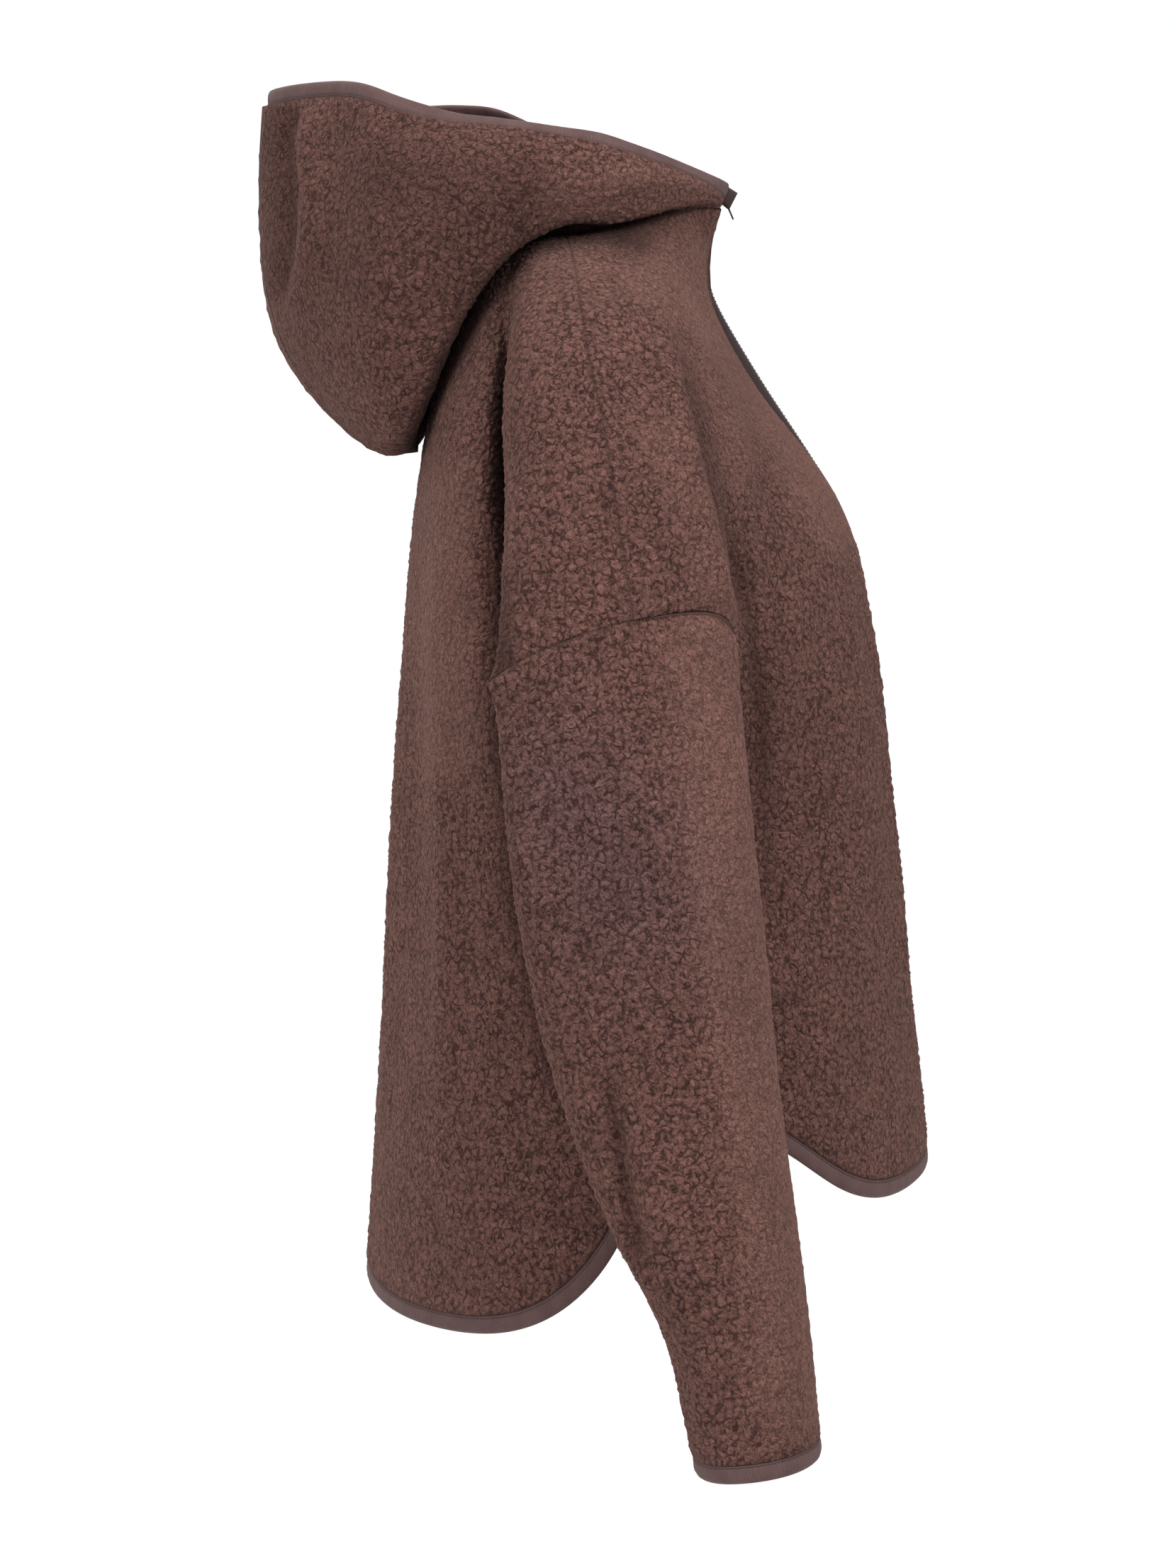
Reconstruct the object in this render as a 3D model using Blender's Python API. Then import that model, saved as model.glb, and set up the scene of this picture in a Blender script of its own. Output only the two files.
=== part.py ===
"""Zip-up fleece hoodie in its worn form, an open hollow shell of cut and sewn panels.

Metres, +Z up, the front faces -Y and the garment's right side is -X. The origin is the middle
of the neck opening at the height of the high shoulder points, where a wearer holds it up.
The tables are in millimetres: out is the distance from the middle plane, back is +Y, up is +Z.
"""
import math

import bpy
import numpy as np
from mathutils import Matrix, Vector

MM = 0.001

FLEECE_WALL = 4.0 * MM
BINDING_WALL = 3.2 * MM
BINDING_WIDTH = 10.0 * MM
SEAM_SHIFT = 0.16 * MM
NECK_SEAM_SHIFT = 0.27 * MM

YOKE_ROWS = 15
TUBE_ROWS = 11
SLEEVE_ROWS = 14
HOOD_ROWS = 15

# The lines of the cloth, front middle to back middle round the right side, from the neck seam
# down to the underarm level, or to the armhole seam on the sleeve's side. Each row also says
# how many columns of faces lie between its line and the next one.
YOKE_LINES = (
    # line, columns to the next, points (out, back, up) from the neck seam
    ("front_edge", 4, ((7.6, -81, 18), (7.6, -75, 2), (7.6, -68, -20), (7.6, -70, -36),
                       (7.6, -84, -62), (7.6, -97.5, -88), (7.6, -118, -114), (7.6, -139, -140),
                       (7.6, -155, -166), (7.6, -164, -193), (7.6, -171, -245),
                       (7.6, -177, -297), (7.6, -180, -330))),
    ("chest", 5, ((45, -57, 17), (58, -60, -8), (70, -64, -40), (80, -79, -80), (88, -107, -120),
                  (94, -134, -160), (98, -147, -200), (102, -156, -250), (106, -163, -330))),
    ("front_valley", 4, ((68, -28, 9.5), (100, -35, -16), (146, -47, -50), (163, -69, -112),
                         (173, -86, -190), (180, -76, -262), (184, -63, -326))),
    ("sleeve_front", 3, ((76, -8, 3), (110, -14, -14), (164, -40, -50), (192, -52, -98),
                         (204, -67, -152), (211, -81, -222))),
    ("shoulder", 3, ((80, 14, -1), (112, 10, -13), (150, 6.7, -27), (184, 4, -47), (207, 0, -74),
                     (224, -8, -112), (237, -16.6, -169), (245, -25, -222.7))),
    ("sleeve_back", 4, ((76, 34, 1.5), (118, 29, -20), (160, 36, -46), (188, 42, -88),
                        (200, 43, -131), (221, 49, -200), (236, 54, -258))),
    ("back_valley", 3, ((68, 46, 4), (100, 46, -24), (121, 47.5, -62), (121, 46.5, -96),
                        (119, 45, -131), (125, 41, -166), (140, 29, -206), (162, 8, -256),
                        (178, -11, -298), (184, -23, -326))),
    ("back_shelf", 3, ((58, 54, 6.5), (92, 54, -25), (121, 55, -64), (141, 56.5, -98),
                       (149, 58, -131), (158, 60, -200), (168, 57, -272), (176, 40, -328))),
    ("back_ridge", 3, ((44, 60, 9), (72, 66, -28), (97, 67, -62), (114, 77, -100),
                       (122, 83, -185), (125, 85, -254), (130, 83, -330))),
    ("back", 2, ((22, 65, 11), (45, 79, -20), (53, 84, -60), (57, 91, -100), (59, 97.5, -140),
                 (61, 104, -193), (63, 110, -297), (65, 112, -330))),
    ("back_middle", 0, ((0, 66, 12), (0, 79, -20), (0, 85, -60), (0, 92.5, -100),
                        (0, 100.5, -140), (0, 106.5, -193), (0, 110, -245), (0, 114, -297),
                        (0, 116, -330))),
)
UNDERARM = (187, -43, -330)
FRONT_GAP = 7.6

# The hood, thrown back and held open: each line leaves the neck seam, rolls over it, hangs to
# its lowest point and rises to the opening edge.
HOOD_LINES = (
    # line, low, flank, rim (out, back, up), belly swell, upper swell
    ("front_edge", (7.6, -82.2, 23), (7.6, -83.5, 28), (7.6, -85, 34), 0, 0),
    ("chest", (55, -63, 20), (63, -64, 29), (60, -58, 41.5), 0, 0.5),
    ("front_valley", (86, -31, 10), (98, -32, 29), (87, -28, 51), 1, 1.5),
    ("sleeve_front", (96, -8, 5), (110, -8, 27), (95, -6, 57), 2, 3),
    ("shoulder", (107, 17, 1), (120, 19, 26), (99, 20, 58), 3, 5),
    ("sleeve_back", (116, 42, -15), (128, 47, 20), (99, 50, 59), 4, 7),
    ("back_valley", (117, 60, -36), (131, 73, 10), (98, 75, 62), 5, 9),
    ("back_shelf", (108, 75, -61), (127, 98, -5), (96, 98, 71), 7, 9),
    ("back_ridge", (86, 103, -127), (112, 136, -40), (88, 127, 84), 8, 8),
    ("back", (48, 111, -141), (66, 177, -58), (55, 164, 92), 9, 8),
    ("back_middle", (0, 113, -140), (0, 187, -63), (0, 197, 91), 9, 8),
)
HOOD_ROLL = (7.0, 11.0)
HOOD_FALL_SWELL = 9.0
HOOD_LEAN = 0.28
HOOD_LEAN_FROM = 112.0
HOOD_LEAN_OVER = 75.0
HOOD_LIFT = 0.30
HOOD_LIFT_BACK = 66.0
HOOD_LIFT_SPREAD = 50.0
SEAM_PINCH = 0.4
SEAM_PINCH_REACH = 9.0 * MM
UNDERARM_FADE = 14.0
UNDERARM_REACH = 24.0 * MM
UNDERARM_PINCH = 0.3
UNDERARM_PINCH_REACH = 45.0 * MM
UNDERARM_PART = 0.9 * MM

BODY_SECTIONS = (
    # up, front, back, half width, squareness
    (-330, -180.0, 116.0, 184, 2.25),
    (-380, -186.5, 119.5, 188, 2.25),
    (-450, -194.0, 123.0, 194, 2.2),
    (-530, -203.0, 127.5, 201, 2.15),
    (-630, -211.0, 134.0, 208, 2.1),
)
HEM = (
    # angle from the front middle, up
    (0, -561), (30, -563), (38, -564), (46, -560), (54, -550), (62, -532), (76, -510),
    (88, -502), (96, -579), (102, -602), (110, -621), (120, -631), (132, -634), (180, -629),
)
SLEEVE_SECTIONS = (
    # up, front, back, inner, outer
    (-222, -80, 52, 176, 245),
    (-270, -86, 55, 184, 252),
    (-330, -91, 50, 197, 261),
    (-400, -98, 38, 203, 272),
    (-470, -104, 21, 208, 281),
    (-530, -111, -1, 212, 288),
    (-575, -117, -22, 214, 293),
    (-600, -120, -39, 215, 296),
    (-640, -124, -50, 216, 299),
    (-690, -127.5, -60, 217, 301),
)
HEM_EVENING = 0.6
CUFF = (-677, -688)

# Main folds of the side that faces out: a crest where the height is more than nothing and a
# trough where it is less, along points (back, up).
FOLDS = (
    # name, piece, half width, height, points (back, up)
    ("sleeve_crest", "sleeve", 17, 3.5, ((-47, -308), (-70, -401), (-81, -491), (-94, -585))),
    ("elbow_trough", "sleeve", 13, -5.5, ((-4, -462), (-14, -500), (-22, -545), (-30, -590))),
    ("elbow_pleat", "sleeve", 12, 4.5, ((-26, -560), (-40, -580), (-46, -594))),
    ("back_crest", "body", 16, 4.0, ((87, -340), (84, -400), (82, -470), (81, -540))),
    ("back_trough", "body", 14, -4.0, ((98, -200), (99, -300), (100, -400), (101, -480))),
)

ZIP_LIFT = (
    # up, how far the chain's face stands out of the fleece's face
    (34, -3.0), (12, -2.5), (-8, -0.5), (-30, 3.0), (-62, 5.0), (-90, 6.5), (-114, 3.5),
    (-140, 0.0), (-200, -1.5), (-560, -1.5),
)
CHAIN_HALF_WIDTH = 2.9 * MM
CHAIN_THICKNESS = 2.2 * MM
TAPE_THICKNESS = 0.8 * MM
TAPE_EDGE = 3.3 * MM
TAPE_TURN = 4.9 * MM
TAPE_UNDER = 6.0 * MM
TAPE_HIDDEN_EDGE = 14.5 * MM
TAPE_DEPTH = 2.8 * MM
TAPE_TURN_DROP = 0.2 * MM
ZIP_REACH = 6.0 * MM
ZIP_END = 1.0 * MM
ZIP_SLACK = 0.6 * MM

SLIDER_SIZE = (8.0 * MM, 9.5 * MM, 1.1 * MM)
SLIDER_GAP = 2.9 * MM
SLIDER_BELOW_TOP = 9.0 * MM
WEDGE_SIZE = (2.4 * MM, 2.4 * MM)
BAIL_SIZE = (1.6 * MM, 6.6 * MM, 3.0 * MM)
BAIL_HOLE = (4.4 * MM, 2.0 * MM)
PULL_WIRE = 0.55 * MM
PULL_LENGTH = 12.6 * MM
PULL_HALF_WIDTH = 1.75 * MM
PULL_TIP_HALF_WIDTH = 1.2 * MM
PULL_LEAN = math.radians(23.0)

COLOURS = {
    # colour, metallic, roughness
    "fleece": ((0.125, 0.066, 0.056), 0.0, 0.95),
    "binding": ((0.100, 0.064, 0.062), 0.0, 0.85),
    "tape": ((0.060, 0.038, 0.036), 0.0, 0.8),
    "chain": ((0.045, 0.030, 0.028), 0.0, 0.45),
    "metal": ((0.055, 0.050, 0.048), 0.9, 0.35),
}


def new_collection(name):
    collection = bpy.data.collections.new(name)
    bpy.context.scene.collection.children.link(collection)
    return collection


def paint(thing, name, kind):
    colour, metallic, roughness = COLOURS[kind]
    material = bpy.data.materials.new(name + "_" + kind)
    material.use_nodes = True
    shader = material.node_tree.nodes["Principled BSDF"]
    shader.inputs["Base Color"].default_value = (*colour, 1.0)
    shader.inputs["Metallic"].default_value = metallic
    shader.inputs["Roughness"].default_value = roughness
    thing.data.materials.clear()
    thing.data.materials.append(material)


def spline(knots, values, places):
    """Smooth curve through values at rising knots, read at places."""
    knots = np.asarray(knots, float)
    values = np.asarray(values, float).reshape(len(knots), -1)
    places = np.clip(np.asarray(places, float), knots[0], knots[-1])
    steps = np.diff(knots)[:, None]
    slopes = np.diff(values, axis=0) / steps
    tangents = np.empty_like(values)
    tangents[1:-1] = (slopes[:-1] * steps[1:] + slopes[1:] * steps[:-1]) / (steps[:-1] + steps[1:])
    tangents[0] = 1.5 * slopes[0] - 0.5 * tangents[1]
    tangents[-1] = 1.5 * slopes[-1] - 0.5 * tangents[-2]
    index = np.clip(np.searchsorted(knots, places, side="right") - 1, 0, len(knots) - 2)
    step = steps[index]
    t = ((places - knots[index])[:, None]) / step
    return ((2 * t**3 - 3 * t**2 + 1) * values[index]
            + (t**3 - 2 * t**2 + t) * step * tangents[index]
            + (3 * t**2 - 2 * t**3) * values[index + 1]
            + (t**3 - t**2) * step * tangents[index + 1])


def lengths_along(points):
    return np.concatenate(([0.0], np.cumsum(np.linalg.norm(np.diff(points, axis=0), axis=1))))


def along(points, rows):
    """Points spaced evenly along the smooth curve through a line's points."""
    points = np.asarray(points, float)
    knots = lengths_along(points)
    fine = spline(knots, points, np.linspace(0.0, knots[-1], 200))
    spread = lengths_along(fine)
    shares = np.linspace(0.0, spread[-1], rows + 1)
    return np.stack([np.interp(shares, spread, fine[:, axis]) for axis in range(3)], axis=1)


def across(points, columns):
    """One row through the lines, mirrored past the front and back middle for its tangents."""
    mirror = np.array((-1.0, 1.0, 1.0))
    padded = np.vstack((points[1] * mirror, points, points[-2] * mirror))
    knots = lengths_along(padded)
    places = [knots[1]]
    for line, count in enumerate(columns):
        start, end = knots[line + 1], knots[line + 2]
        places.extend(start + (end - start) * step / count for step in range(1, count + 1))
    return spline(knots, padded, places)


def unit(vectors):
    lengths = np.linalg.norm(vectors, axis=-1, keepdims=True)
    return vectors / np.maximum(lengths, 1e-12)


COLUMNS = [count for _, count, _ in YOKE_LINES[:-1]]
LINE_COLUMN = dict(zip([row[0] for row in YOKE_LINES], np.concatenate(([0], np.cumsum(COLUMNS)))))


def yoke_grid():
    lines = [along(points, YOKE_ROWS) for _, _, points in YOKE_LINES]
    return np.stack([across(np.array([line[row] for line in lines]), COLUMNS)
                     for row in range(YOKE_ROWS + 1)])


def body_section(up, angle):
    """A point of the body below the underarm: a squared oval that follows the side outline."""
    heights = [row[0] for row in BODY_SECTIONS][::-1]
    values = [row[1:] for row in BODY_SECTIONS][::-1]
    front, back, half_width, squareness = spline(heights, values, [up])[0]
    power = 2.0 / squareness
    cosine, sine = math.cos(angle), math.sin(angle)
    out = half_width * abs(sine) ** power
    depth = (back - front) / 2.0
    return np.array((out, (front + back) / 2.0 - depth * math.copysign(abs(cosine) ** power, cosine),
                     up))


def body_angle(point):
    """The angle of the body's section at its first level nearest to a point."""
    angles = np.linspace(0.0, math.pi, 721)
    section = np.array([body_section(BODY_SECTIONS[0][0], angle)[:2] for angle in angles])
    return angles[np.argmin(np.linalg.norm(section - point[:2], axis=1))]


def hem_up(angle):
    return spline([math.radians(row[0]) for row in HEM], [row[1] for row in HEM], [angle])[0, 0]


def spread_hem(angles, side):
    """The columns' angles at the hem, moved toward an even spacing along each panel's hem."""
    fine = np.linspace(0.0, math.pi, 721)
    spread = lengths_along(np.array([body_section(hem_up(angle), angle) for angle in fine]))
    places = np.interp(angles, fine, spread)
    even = np.append(np.linspace(0.0, places[side], side + 1),
                     np.linspace(places[side], places[-1], len(angles) - side)[1:])
    return np.interp(places + HEM_EVENING * (even - places), spread, fine)


def tube_grid(ring):
    """The body from the underarm level to the hem. The last row is the binding's strip."""
    angles = np.array([body_angle(point) for point in ring])
    angles[0] = 0.0
    angles[-1] = math.pi
    underarm_angle = body_angle(np.array(UNDERARM, float))
    hem_angles = spread_hem(angles, LINE_COLUMN["front_valley"] + 1)
    hem = np.array([body_section(hem_up(angle), angle) for angle in hem_angles])
    run = np.gradient(hem, axis=0)
    slope = np.abs(run[:, 2]) / np.maximum(np.linalg.norm(run[:, :2], axis=1), 1.0)
    strip = BINDING_WIDTH / MM * np.minimum(np.sqrt(1.0 + slope**2), 2.0)
    rows = []
    for row in range(TUBE_ROWS + 2):
        points = []
        for column, start in enumerate(ring):
            share = min(row / TUBE_ROWS, 1.0)
            turn = (hem_angles[column] - angles[column]) * share * share * (3.0 - 2.0 * share)
            end = hem[column, 2] + (strip[column] if row <= TUBE_ROWS else 0.0)
            up = start[2] + (end - start[2]) * share
            point = body_section(up, angles[column] + turn)
            reach = UNDERARM_FADE if abs(angles[column] - underarm_angle) < 0.2 else 60.0
            fade = math.exp(-(((start[2] - up) / reach) ** 2))
            point = point + fade * (start - body_section(start[2], angles[column])) * (1, 1, 0)
            if column == 0:
                point[0] = FRONT_GAP
            points.append(point)
        rows.append(points)
    return np.array(rows)


def sleeve_section(up, angle):
    heights = [row[0] for row in SLEEVE_SECTIONS][::-1]
    values = [row[1:] for row in SLEEVE_SECTIONS][::-1]
    front, back, inner, outer = spline(heights, values, [up])[0]
    power = 2.0 / 2.2
    cosine, sine = math.cos(angle), math.sin(angle)
    return np.array((
        (inner + outer) / 2.0 + (outer - inner) / 2.0 * math.copysign(abs(cosine) ** power, cosine),
        (front + back) / 2.0 + (back - front) / 2.0 * math.copysign(abs(sine) ** power, sine),
        up))


def sleeve_grid(ring):
    """A closed tube from the armhole seam to the cuff. The last row is the binding's strip."""
    _, front, back, inner, outer = SLEEVE_SECTIONS[1]
    middle = np.array(((inner + outer) / 2.0, (front + back) / 2.0))
    spread = np.array(((outer - inner) / 2.0, (back - front) / 2.0))
    scaled = (ring[:, :2] - middle) / spread
    turns = np.unwrap(np.arctan2(scaled[:, 1], scaled[:, 0]))
    even = turns[0] + np.arange(len(ring)) * math.copysign(2.0 * math.pi, turns[5] - turns[0]) / len(ring)
    even += np.mean(turns - even)
    rows = []
    for row in range(SLEEVE_ROWS + 2):
        share = min(row / SLEEVE_ROWS, 1.0)
        relax = share * share * (3.0 - 2.0 * share)
        points = []
        for column, start in enumerate(ring):
            angle = turns[column] + (even[column] - turns[column]) * relax
            lean = (1.0 - math.sin(angle)) / 2.0
            end = CUFF[1] + (CUFF[0] - CUFF[1]) * lean
            end += BINDING_WIDTH / MM if row <= SLEEVE_ROWS else 0.0
            up = start[2] + (end - start[2]) * share
            point = sleeve_section(up, angle)
            reach = UNDERARM_FADE if column in (0, len(ring) - 2, len(ring) - 1) else 45.0
            fade = math.exp(-(((start[2] - up) / reach) ** 2))
            first = sleeve_section(start[2], turns[column])
            point = point + fade * (start - first) * (1, 1, 0)
            points.append(point)
        rows.append(points)
    return np.array(rows)


def hood_grid(neck_row):
    """The half hood from the neck seam to the opening edge. The last row is the binding's strip."""
    neck = np.array([points[0] for _, _, points in YOKE_LINES], float)
    middle = np.array((0.0, -8.0, 0.0))
    lines = []
    for start, (_, low, flank, rim, belly_swell, upper_swell) in zip(neck, HOOD_LINES):
        low, flank, rim = (np.array(place, float) for place in (low, flank, rim))
        outward = unit((start - middle) * (1, 1, 0))
        weight = min(1.0, belly_swell / 3.0)
        roll = start + weight * (outward * HOOD_ROLL[0] + np.array((0, 0, HOOD_ROLL[1])))
        roll = roll if weight > 0 else start + (low - start) * 0.35
        fall = (roll + low) / 2.0 + weight * outward * HOOD_FALL_SWELL
        chord = unit(flank - low)
        down_out = unit(outward - chord * np.dot(outward, chord))
        belly = (low + flank) / 2.0 + down_out * belly_swell
        chord = unit(rim - flank)
        up_out = unit(outward - chord * np.dot(outward, chord))
        upper = (flank + rim) / 2.0 + up_out * upper_swell
        lines.append(np.array((start, roll, fall, low, belly, flank, upper, rim)))
    rings = []
    for line in lines:
        length = lengths_along(line)[-1]
        strip = min(BINDING_WIDTH / MM, length * 0.6)
        whole = along(line, 200)
        spread = lengths_along(whole)
        cut = spread[-1] - strip
        shares = np.append(np.linspace(0.0, cut, HOOD_ROWS + 1), spread[-1])
        rings.append(np.stack([np.interp(shares, spread, whole[:, axis]) for axis in range(3)],
                              axis=1))
    grid = np.stack([across(np.array([ring[row] for ring in rings]), COLUMNS)
                     for row in range(HOOD_ROWS + 2)])
    grid[0] = neck_row
    grid[:, -1, 0] = 0.0
    return grid


class Cloth:
    """The middle surface of all the fleece and bindings, with each face's piece."""

    def __init__(self):
        self.points = []
        self.index = {}
        self.faces = []
        self.labels = []
        self.area = []

    def vertex(self, point, area):
        key = tuple(np.round(point, 7))
        if key not in self.index:
            self.index[key] = len(self.points)
            self.points.append(np.array(key))
            self.area.append(area)
        return self.index[key]

    def add_grid(self, grid, name_of, area, rising=False, closed=False):
        rows, columns = grid.shape[:2]
        for row in range(rows - 1):
            for column in range(columns if closed else columns - 1):
                after = (column + 1) % columns
                corners = [(row, column), (row, after), (row + 1, after), (row + 1, column)]
                if rising:
                    corners.reverse()
                self.faces.append([self.vertex(grid[corner], area) for corner in corners])
                self.labels.append(name_of(row, column))

    def mirrored(self):
        """Adds the left side, whose pieces take their own names."""
        flip = {}
        for number in range(len(self.points)):
            point = self.points[number] * (-1.0, 1.0, 1.0)
            flip[number] = self.vertex(np.where(point == 0.0, 0.0, point), self.area[number])
        for face, label in list(zip(self.faces, self.labels)):
            self.faces.append([flip[number] for number in reversed(face)])
            self.labels.append(label.replace("_right", "_left"))
        self.points = np.array(self.points)
        self.area = np.array(self.area)

    def normals(self):
        return normals_of(np.asarray(self.points), self.faces)


def normals_of(points, faces):
    """The way out at each point, from the corners of the faces round it."""
    faces = np.array(faces)
    corners = points[faces]
    across_face = unit(np.cross(corners[:, 2] - corners[:, 0], corners[:, 3] - corners[:, 1]))
    total = np.zeros_like(points)
    for corner in range(4):
        before = unit(corners[:, corner - 1] - corners[:, corner])
        after = unit(corners[:, (corner + 1) % 4] - corners[:, corner])
        opening = np.arccos(np.clip(np.sum(before * after, axis=1), -1.0, 1.0))
        np.add.at(total, faces[:, corner], across_face * opening[:, None])
    return unit(total)


def distance_to_path(places, path):
    """Distance in the side view from each place (back, up) to a path, with its ends faded."""
    path = np.array(path, float) * MM
    best = np.full(len(places), 1.0)
    for start, end in zip(path[:-1], path[1:]):
        run = end - start
        share = np.clip(((places - start) @ run) / (run @ run), 0.0, 1.0)
        gap = np.linalg.norm(places - (start + share[:, None] * run), axis=1)
        best = np.minimum(best, gap)
    return best


def fold(cloth):
    """Raises the crests and sinks the troughs of both sides along the cloth's own normals."""
    normals = cloth.normals()
    facing = np.clip(np.abs(normals[:, 0]) * 1.6 - 0.1, 0.0, 1.0)
    for _, area, half_width, height, path in FOLDS:
        gap = distance_to_path(cloth.points[:, 1:], path)
        push = height * MM * np.exp(-((gap / (half_width * MM)) ** 2)) * facing
        outer = np.abs(cloth.points[:, 0]) > 0.235 if area == "sleeve" else True
        push = np.where((cloth.area == area) & outer, push, 0.0)
        cloth.points = cloth.points + normals * push[:, None]


def lean_hood(cloth):
    """The hood hangs a little to the left behind the neck, and its left edge stands higher."""
    points = cloth.points
    hood = cloth.area == "hood"
    over = np.clip((points[:, 1] / MM - HOOD_LEAN_FROM) / HOOD_LEAN_OVER, 0.0, 1.0)
    over = over * over * (3.0 - 2.0 * over) * hood
    near = np.exp(-(((points[:, 1] / MM - HOOD_LIFT_BACK) / HOOD_LIFT_SPREAD) ** 2)) * hood
    height = np.clip(points[:, 2] / (60.0 * MM), 0.0, 1.0)
    points[:, 1] += HOOD_LEAN * points[:, 0] * over
    points[:, 2] += HOOD_LIFT * np.maximum(points[:, 0], 0.0) * near * height


def seam_directions(points, faces):
    """For each vertex on the edge of a piece, the way into the piece, across its edges."""
    count = {}
    for face in faces:
        for start, end in zip(face, face[1:] + face[:1]):
            key = (min(start, end), max(start, end))
            count[key] = count.get(key, 0) + 1
    border = []
    inward = {}
    for face in faces:
        middle = np.mean([points[number] for number in face], axis=0)
        for start, end in zip(face, face[1:] + face[:1]):
            if count[(min(start, end), max(start, end))] != 1:
                continue
            border.append((start, end))
            run = unit(points[end] - points[start])
            into = middle - points[start]
            into = unit(into - run * np.dot(into, run))
            inward.setdefault(start, []).append(into)
            inward.setdefault(end, []).append(into)
    return border, inward


def halves(points, face):
    """The two triangles of a face, cut along its shorter diagonal on both sides of a wall."""
    first, second, third, fourth = face
    if np.linalg.norm(points[first] - points[third]) <= np.linalg.norm(points[second] - points[fourth]):
        return (first, second, third), (first, third, fourth)
    return (second, third, fourth), (second, fourth, first)


def wall(name, points, faces, normals, thickness, kind, collection, shift=None, share=None):
    """A closed wall about a middle surface, drawn in from its seams."""
    used = sorted({number for face in faces for number in face})
    place = {number: order for order, number in enumerate(used)}
    border, inward = seam_directions(points, faces)
    middle = []
    for number in used:
        point = np.array(points[number])
        ways = inward.get(number, ())
        if ways:
            step = SEAM_SHIFT if shift is None else shift(number)
            mean = np.sum(ways, axis=0)
            reach = max(np.dot(unit(mean), way) for way in ways)
            point = point + unit(mean) * step / max(reach, 0.5)
        middle.append(point)
    middle = np.array(middle)
    offset = normals[used] * thickness / 2.0
    if share is not None:
        offset = offset * share[used][:, None]
    corners = np.vstack((middle + offset, middle - offset))
    size = len(used)
    shell = []
    for face in faces:
        for corner in halves(points, face):
            shell.append([place[number] for number in corner])
            shell.append([place[number] + size for number in reversed(corner)])
    for start, end in border:
        first, last = place[start], place[end]
        if start < end:
            shell += [(last, first, last + size), (first, first + size, last + size)]
        else:
            shell += [(last, first, first + size), (last, first + size, last + size)]
    mesh = bpy.data.meshes.new(name)
    mesh.from_pydata([tuple(corner) for corner in corners], [], shell)
    mesh.validate()
    thing = bpy.data.objects.new(name, mesh)
    collection.objects.link(thing)
    mesh.shade_smooth()
    mesh.set_sharp_from_angle(angle=math.radians(40))
    paint(thing, name, kind)
    return thing


# The tables describe the right side, which is -X.
SIDE = np.array((-MM, MM, MM))


def side_key(point):
    """The same for a point and its mirror image."""
    return tuple(np.round((abs(point[0]), point[1], point[2]), 7))


def make_cloth():
    cloth = Cloth()
    yoke = yoke_grid()
    shoulder = LINE_COLUMN["shoulder"]
    front_arm = LINE_COLUMN["front_valley"]
    back_arm = LINE_COLUMN["back_valley"]
    underarm = np.array(UNDERARM, float)
    ring = yoke[-1]
    body_ring = np.vstack((ring[:front_arm + 1], underarm, ring[back_arm:]))
    sleeve_ring = np.vstack((ring[front_arm:back_arm + 1], underarm))
    cloth.add_grid(yoke * SIDE, lambda row, column: "front_right" if column < shoulder else "back",
                   "yoke")
    tube = tube_grid(body_ring)
    tube[0] = body_ring
    cloth.add_grid(tube * SIDE, lambda row, column: "hem_binding" if row > TUBE_ROWS - 1 else
                   ("front_right" if column <= front_arm else "back"), "body")
    sleeve = sleeve_grid(sleeve_ring)
    sleeve[0] = sleeve_ring
    cloth.add_grid(sleeve * SIDE, lambda row, column: "cuff_binding_right" if row > SLEEVE_ROWS - 1
                   else "sleeve_right", "sleeve", closed=True)
    hood = hood_grid(yoke[0])
    cloth.add_grid(hood * SIDE, lambda row, column: "hood_binding" if row > HOOD_ROWS - 1
                   else "hood_right", "hood", rising=True)
    neck = [cloth.vertex(point, "yoke") for point in yoke[0] * SIDE]
    neck_keys = {side_key(cloth.points[number]) for number in neck}
    front_edge = [grid[:, :2] for grid in (hood[::-1], yoke[1:], tube[1:])]
    cloth.mirrored()
    fold(cloth)
    lean_hood(cloth)
    return cloth, neck_keys, np.vstack(front_edge) * MM


def cloth_pieces(cloth, neck_keys, collection):
    """Every piece of fleece and binding, thinner where it is sewn in at the neck seam."""
    normals = cloth.normals()
    ring = np.array(sorted(neck_keys))
    sides = np.abs(cloth.points) * (1, 0, 0) + cloth.points * (0, 1, 1)
    gap = np.min(np.linalg.norm(sides[:, None, :] - ring, axis=2), axis=1)
    share = SEAM_PINCH + (1.0 - SEAM_PINCH) * np.clip(gap / SEAM_PINCH_REACH, 0.0, 1.0)
    arm = np.linalg.norm(sides - np.array(UNDERARM) * MM, axis=1)
    thin = np.clip(arm / UNDERARM_PINCH_REACH, 0.0, 1.0)
    share = np.minimum(share, UNDERARM_PINCH + (1.0 - UNDERARM_PINCH) * thin)

    def shift(number):
        return NECK_SEAM_SHIFT if side_key(cloth.points[number]) in neck_keys else SEAM_SHIFT

    for name in sorted(set(cloth.labels)):
        faces = [face for face, label in zip(cloth.faces, cloth.labels) if label == name]
        bound = "binding" in name
        way = 1.0 if name.startswith("sleeve") else -1.0
        part_by = way * UNDERARM_PART * (arm < UNDERARM_REACH) * np.sign(cloth.points[:, 0])
        points = cloth.points + part_by[:, None] * (1, 0, 0)
        own = normals_of(cloth.points, faces)
        outward = np.where((arm < UNDERARM_REACH)[:, None], own, normals)
        wall(name, points, faces, outward, BINDING_WALL if bound else FLEECE_WALL,
             "binding" if bound else "fleece", collection, shift, share)


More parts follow.
